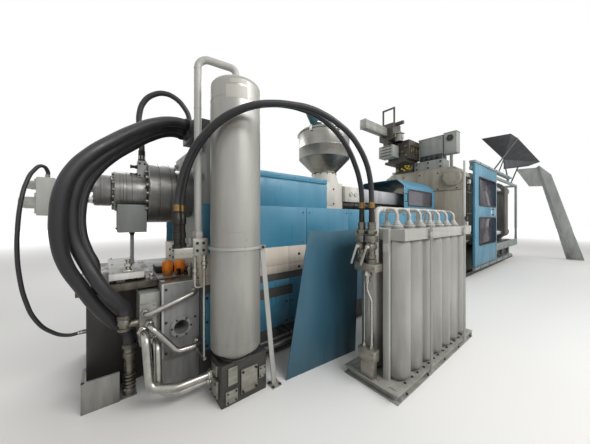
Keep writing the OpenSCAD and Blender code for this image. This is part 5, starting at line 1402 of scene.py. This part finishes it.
# Rack frame. Rolled channels welded into a base, two flat posts at each end, and a folded
# tray that fits over the shoulders of the bottles and is drawn down by pairs of strap rods.
rack_enamel = machine_paint("rack_grey_enamel", "#a3a39d", "#b1b1ab", "#6b675e", 0.0, 0.5, 0.4, 0.42, 0.3)
parts = [softened("rack_frame", 0.0025)]
for x in (-5.39, -3.64):
    for y in (-2.012, -1.458):
        reach = 0.03 if y < -1.7 else 0.003
        parts.append(block((x, y - 0.003, 0.01), (x + 0.006, y + reach, 0.066), 0))
parts.append(block((-5.375, -1.99, 0.064), (-3.655, -1.48, 0.069), 0.001))
fitted("rack_frame_welded", parts, rack_enamel, stands_for=["rack_frame"])
parts = []
for k in (2, 6):
    x = -4.475 + (k - 3) * 0.232 - 0.116
    for dx in (-0.016, 0.016):
        parts.append(rod((x + dx, -2.014, 0.04), (x + dx, -2.014, 1.432), 0.0065, 12))
        parts += [turned([(0, 0), (0, 0.012), (0.01, 0.012), (0.01, 0)], (x + dx, -2.014, z), UP, 6)
                  for z in (1.376, 1.324, 0.052)]
fitted("rack_strap_rods", parts, rack_enamel)
lip_white_plate = machine_paint("white_rack_plate", "#d6d5cf", "#e2e1dc", "#8d8778", 1.2, 1.4, 0.35, 0.42,
                                0.3)
parts = [block((-3.598, -1.99, 1.333), (-3.572, -1.9, 1.415), 0.003),
         block((-5.3255, -1.862, 1.2), (-5.3215, -1.806, 1.28), 0.002)]
fitted("rack_end_plates", parts, lip_white_plate)


# Gas bottles. Fourteen drawn steel bottles in two rows of seven, each with a rounded foot,
# a domed shoulder and a neck ring of stacked flanges, sprayed grey where they stand.
header_y, header_z = -1.735, 1.59  # the collecting pipe's line over the bottles
pitch = 0.232  # between one bottle and the next
bottle = turned([(0, 0), (0, 0.088), (0.006, 0.1), (0.02, 0.111), (0.04, 0.1145), (1.185, 0.1145),
                 (1.206, 0.1125), (1.23, 0.105), (1.255, 0.09), (1.278, 0.073), (1.296, 0.062),
                 (1.318, 0.058), (1.336, 0.053), (1.338, 0.05), (1.341, 0.05), (1.343, 0.053), (1.35, 0.053),
                 (1.352, 0.044), (1.356, 0.044), (1.358, 0.04), (1.375, 0.038), (1.375, 0)], (0, 0, 0.075),
                UP, 40)
rows = [(-4.475 + (i - 3) * pitch, y, 0) for i in range(7) for y in (-1.857, -1.613)]
bottle_enamel = machine_paint("bottle_aluminium_paint", "#a09f9a", "#afaea9", "#5f5b53", 0.0, 0.6, 0.3, 0.36,
                              0.28)
bottle_enamel.node_tree.nodes["Principled BSDF"].inputs["Metallic"].default_value = 0.55
fitted("gas_bottles", copies(bottle, [shift(spot) for spot in rows]), bottle_enamel,
       stands_for=["bottles"])
parts = []
for x, y, _ in rows:
    if y < -1.7:
        parts += bolts([(x + 0.104 * math.cos(a), -1.965, 0.075) for a in (0.9, 2.24)], UP, 0.016)
parts += bolts([(x, -2.01, 0.038) for x in (-5.3, -4.9, -4.5, -4.1, -3.7)], NEAR, 0.018)
fitted("rack_base_bolts", parts, black_oxide)


# Collecting pipe. Thick drawn tube over the bottles, painted with them, with a gooseneck
# bent down to every neck and two round union nuts where each one screws in.
parts = [tube([(-3.77, header_y, header_z), (-5.325, header_y, header_z), (-5.325, header_y, 1.1)], 0.0275,
              0.07, 8)]
for x, y, _ in rows:
    side = math.copysign(1.0, y - header_y)
    parts.append(tube([(x, header_y, header_z), (x, y, header_z), (x, y, 1.44)], 0.015, 0.09, 6))
    parts.append(turned([(0, 0.014), (0, 0.05), (0.003, 0.053), (0.012, 0.053), (0.015, 0.05), (0.017, 0.038),
                         (0.019, 0.038), (0.034, 0.036), (0.036, 0.028), (0.05, 0.026), (0.054, 0.021),
                         (0.06, 0.019), (0.062, 0.014), (0, 0.014)], (x, y, 1.425), UP, 24))
    parts.append(turned([(0, 0.013), (0, 0.019), (0.004, 0.0205), (0.012, 0.0205), (0.016, 0.017),
                         (0.016, 0.013), (0, 0.013)], (x, header_y + side * 0.026, header_z), (0, side, 0),
                        18))
for x in (-5.24, -4.9, -4.32, -3.9):
    parts.append(turned([(0, 0.026), (0, 0.0295), (0.004, 0.031), (0.008, 0.0295), (0.008, 0.026),
                         (0, 0.026)], (x, header_y, header_z), ONWARD, 28))
parts.append(turned([(0, 0), (0, 0.024), (0.004, 0.028), (0.01, 0.028), (0.01, 0)],
                    (-3.762, header_y, header_z), ONWARD, 28))
header_enamel = machine_paint("header_grey_enamel", "#b6b5b0", "#c4c3be", "#7a766b", 0.9, 1.5, 0.3, 0.34, 0.2)
fitted("bottle_collecting_pipe", parts, header_enamel, stands_for=["bottle_header"])


# Rack valves. Two ball valves one behind the other on a common block, plated and painted,
# over a drain that runs down to a foot block on the rack's base.
valve_x, valve_ys = -5.39, (-1.63, -1.735)  # the two valves' stems
parts = [block((-5.445, -1.805, 1.03), (-5.3, -1.585, 1.1), 0.005),
         block((-5.438, -1.79, 0.23), (-5.35, -1.62, 0.33), 0.005),
         block((-5.425, -1.77, 0.075), (-5.36, -1.64, 0.231), 0.004)]
for y in valve_ys:
    parts.append(block((-5.432, y - 0.042, 1.29), (-5.348, y + 0.042, 1.35), 0.004))
    parts.append(turned([(0, 0), (0, 0.034), (0.006, 0.036), (0.082, 0.036), (0.088, 0.034), (0.088, 0)],
                        (-5.44, y, 1.25), ONWARD, 24))
parts += socket_bolts([(-5.445, y, 1.065) for y in (-1.785, -1.69, -1.605)], BACK, 0.018)
parts += socket_bolts([(-5.438, y, z) for y in (-1.77, -1.64) for z in (0.255, 0.305)], BACK, 0.016)
valve_zinc = turned_steel("yellowed_zinc_valve", "#a09c91", "#86827a", 0.36, 0.35, "Z", 0.75, 0.04)
fitted("rack_valve_blocks", parts, valve_zinc, stands_for=["rack_valves"])
parts = []
for y in valve_ys:
    parts.append(turned([(0, 0), (0, 0.042), (0.036, 0.042), (0.04, 0.03), (0.048, 0.03), (0.05, 0.04),
                         (0.076, 0.04), (0.08, 0.03), (0.12, 0.03), (0.19, 0.03), (0.19, 0)],
                        (valve_x, y, 1.1), UP, 24))
    parts.append(turned([(0, 0), (0, 0.044), (0.006, 0.048), (0.03, 0.048), (0.036, 0.044), (0.036, 0)],
                        (valve_x, y, 1.362), UP, 6))
    parts.append(turned([(0, 0.02), (0, 0.036), (0.07, 0.036), (0.072, 0.02), (0, 0.02)], (valve_x, y, 1.4),
                        UP, 24))
fitted("rack_valve_unions", parts, oily_zinc)
ribbed = [(0, 0), (0, 0.026)]
for k in range(4):
    z = 0.006 + k * 0.013
    ribbed += [(z, 0.026), (z + 0.002, 0.023), (z + 0.006, 0.023), (z + 0.008, 0.026)]
ribbed += [(0.06, 0.026), (0.062, 0.04), (0.064, 0.042), (0.084, 0.034), (0.105, 0.028), (0.105, 0)]
parts = [turned(ribbed, (valve_x, -1.69, 0.925), UP, 28)]
parts.append(tube([(valve_x, -1.69, 0.925), (valve_x, -1.69, 0.85), (valve_x, -1.735, 0.76),
                   (valve_x, -1.735, 0.36)], 0.0125, 0.05, 6))
for y in (-1.735, -1.66):
    parts.append(turned([(0, 0), (0, 0.026), (0.02, 0.026), (0.022, 0.018), (0.034, 0.018), (0.034, 0)],
                        (valve_x, y, 0.33), UP, 6))
parts.append(tube([(valve_x, -1.66, 0.36), (valve_x, -1.66, 1.035)], 0.006, 0.02, 4))
fitted("rack_drain_pipe", parts, plated)


# Valve levers. Pressed steel handles dipped in white plastic, each pushed on to the flats of
# its valve's stem and held there by a nut.
for node in ("valve_lever_a", "valve_lever_b"):
    fitted(node + "_handle", [softened(node, 0.002)], lip_white_plate,
           frame["nodes"][node]["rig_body"], [node])


# Loose guard. One of the blue upper guards, taken off for the work in hand and stood against
# the base, slightly bowed, its returned edges towards the machine.
# Its darker blue is painted shade.
fitted("loose_guard_sheet", [softened("loose_guard", 0.0015)], shaded_guard_blue,
       stands_for=["loose_guard"])
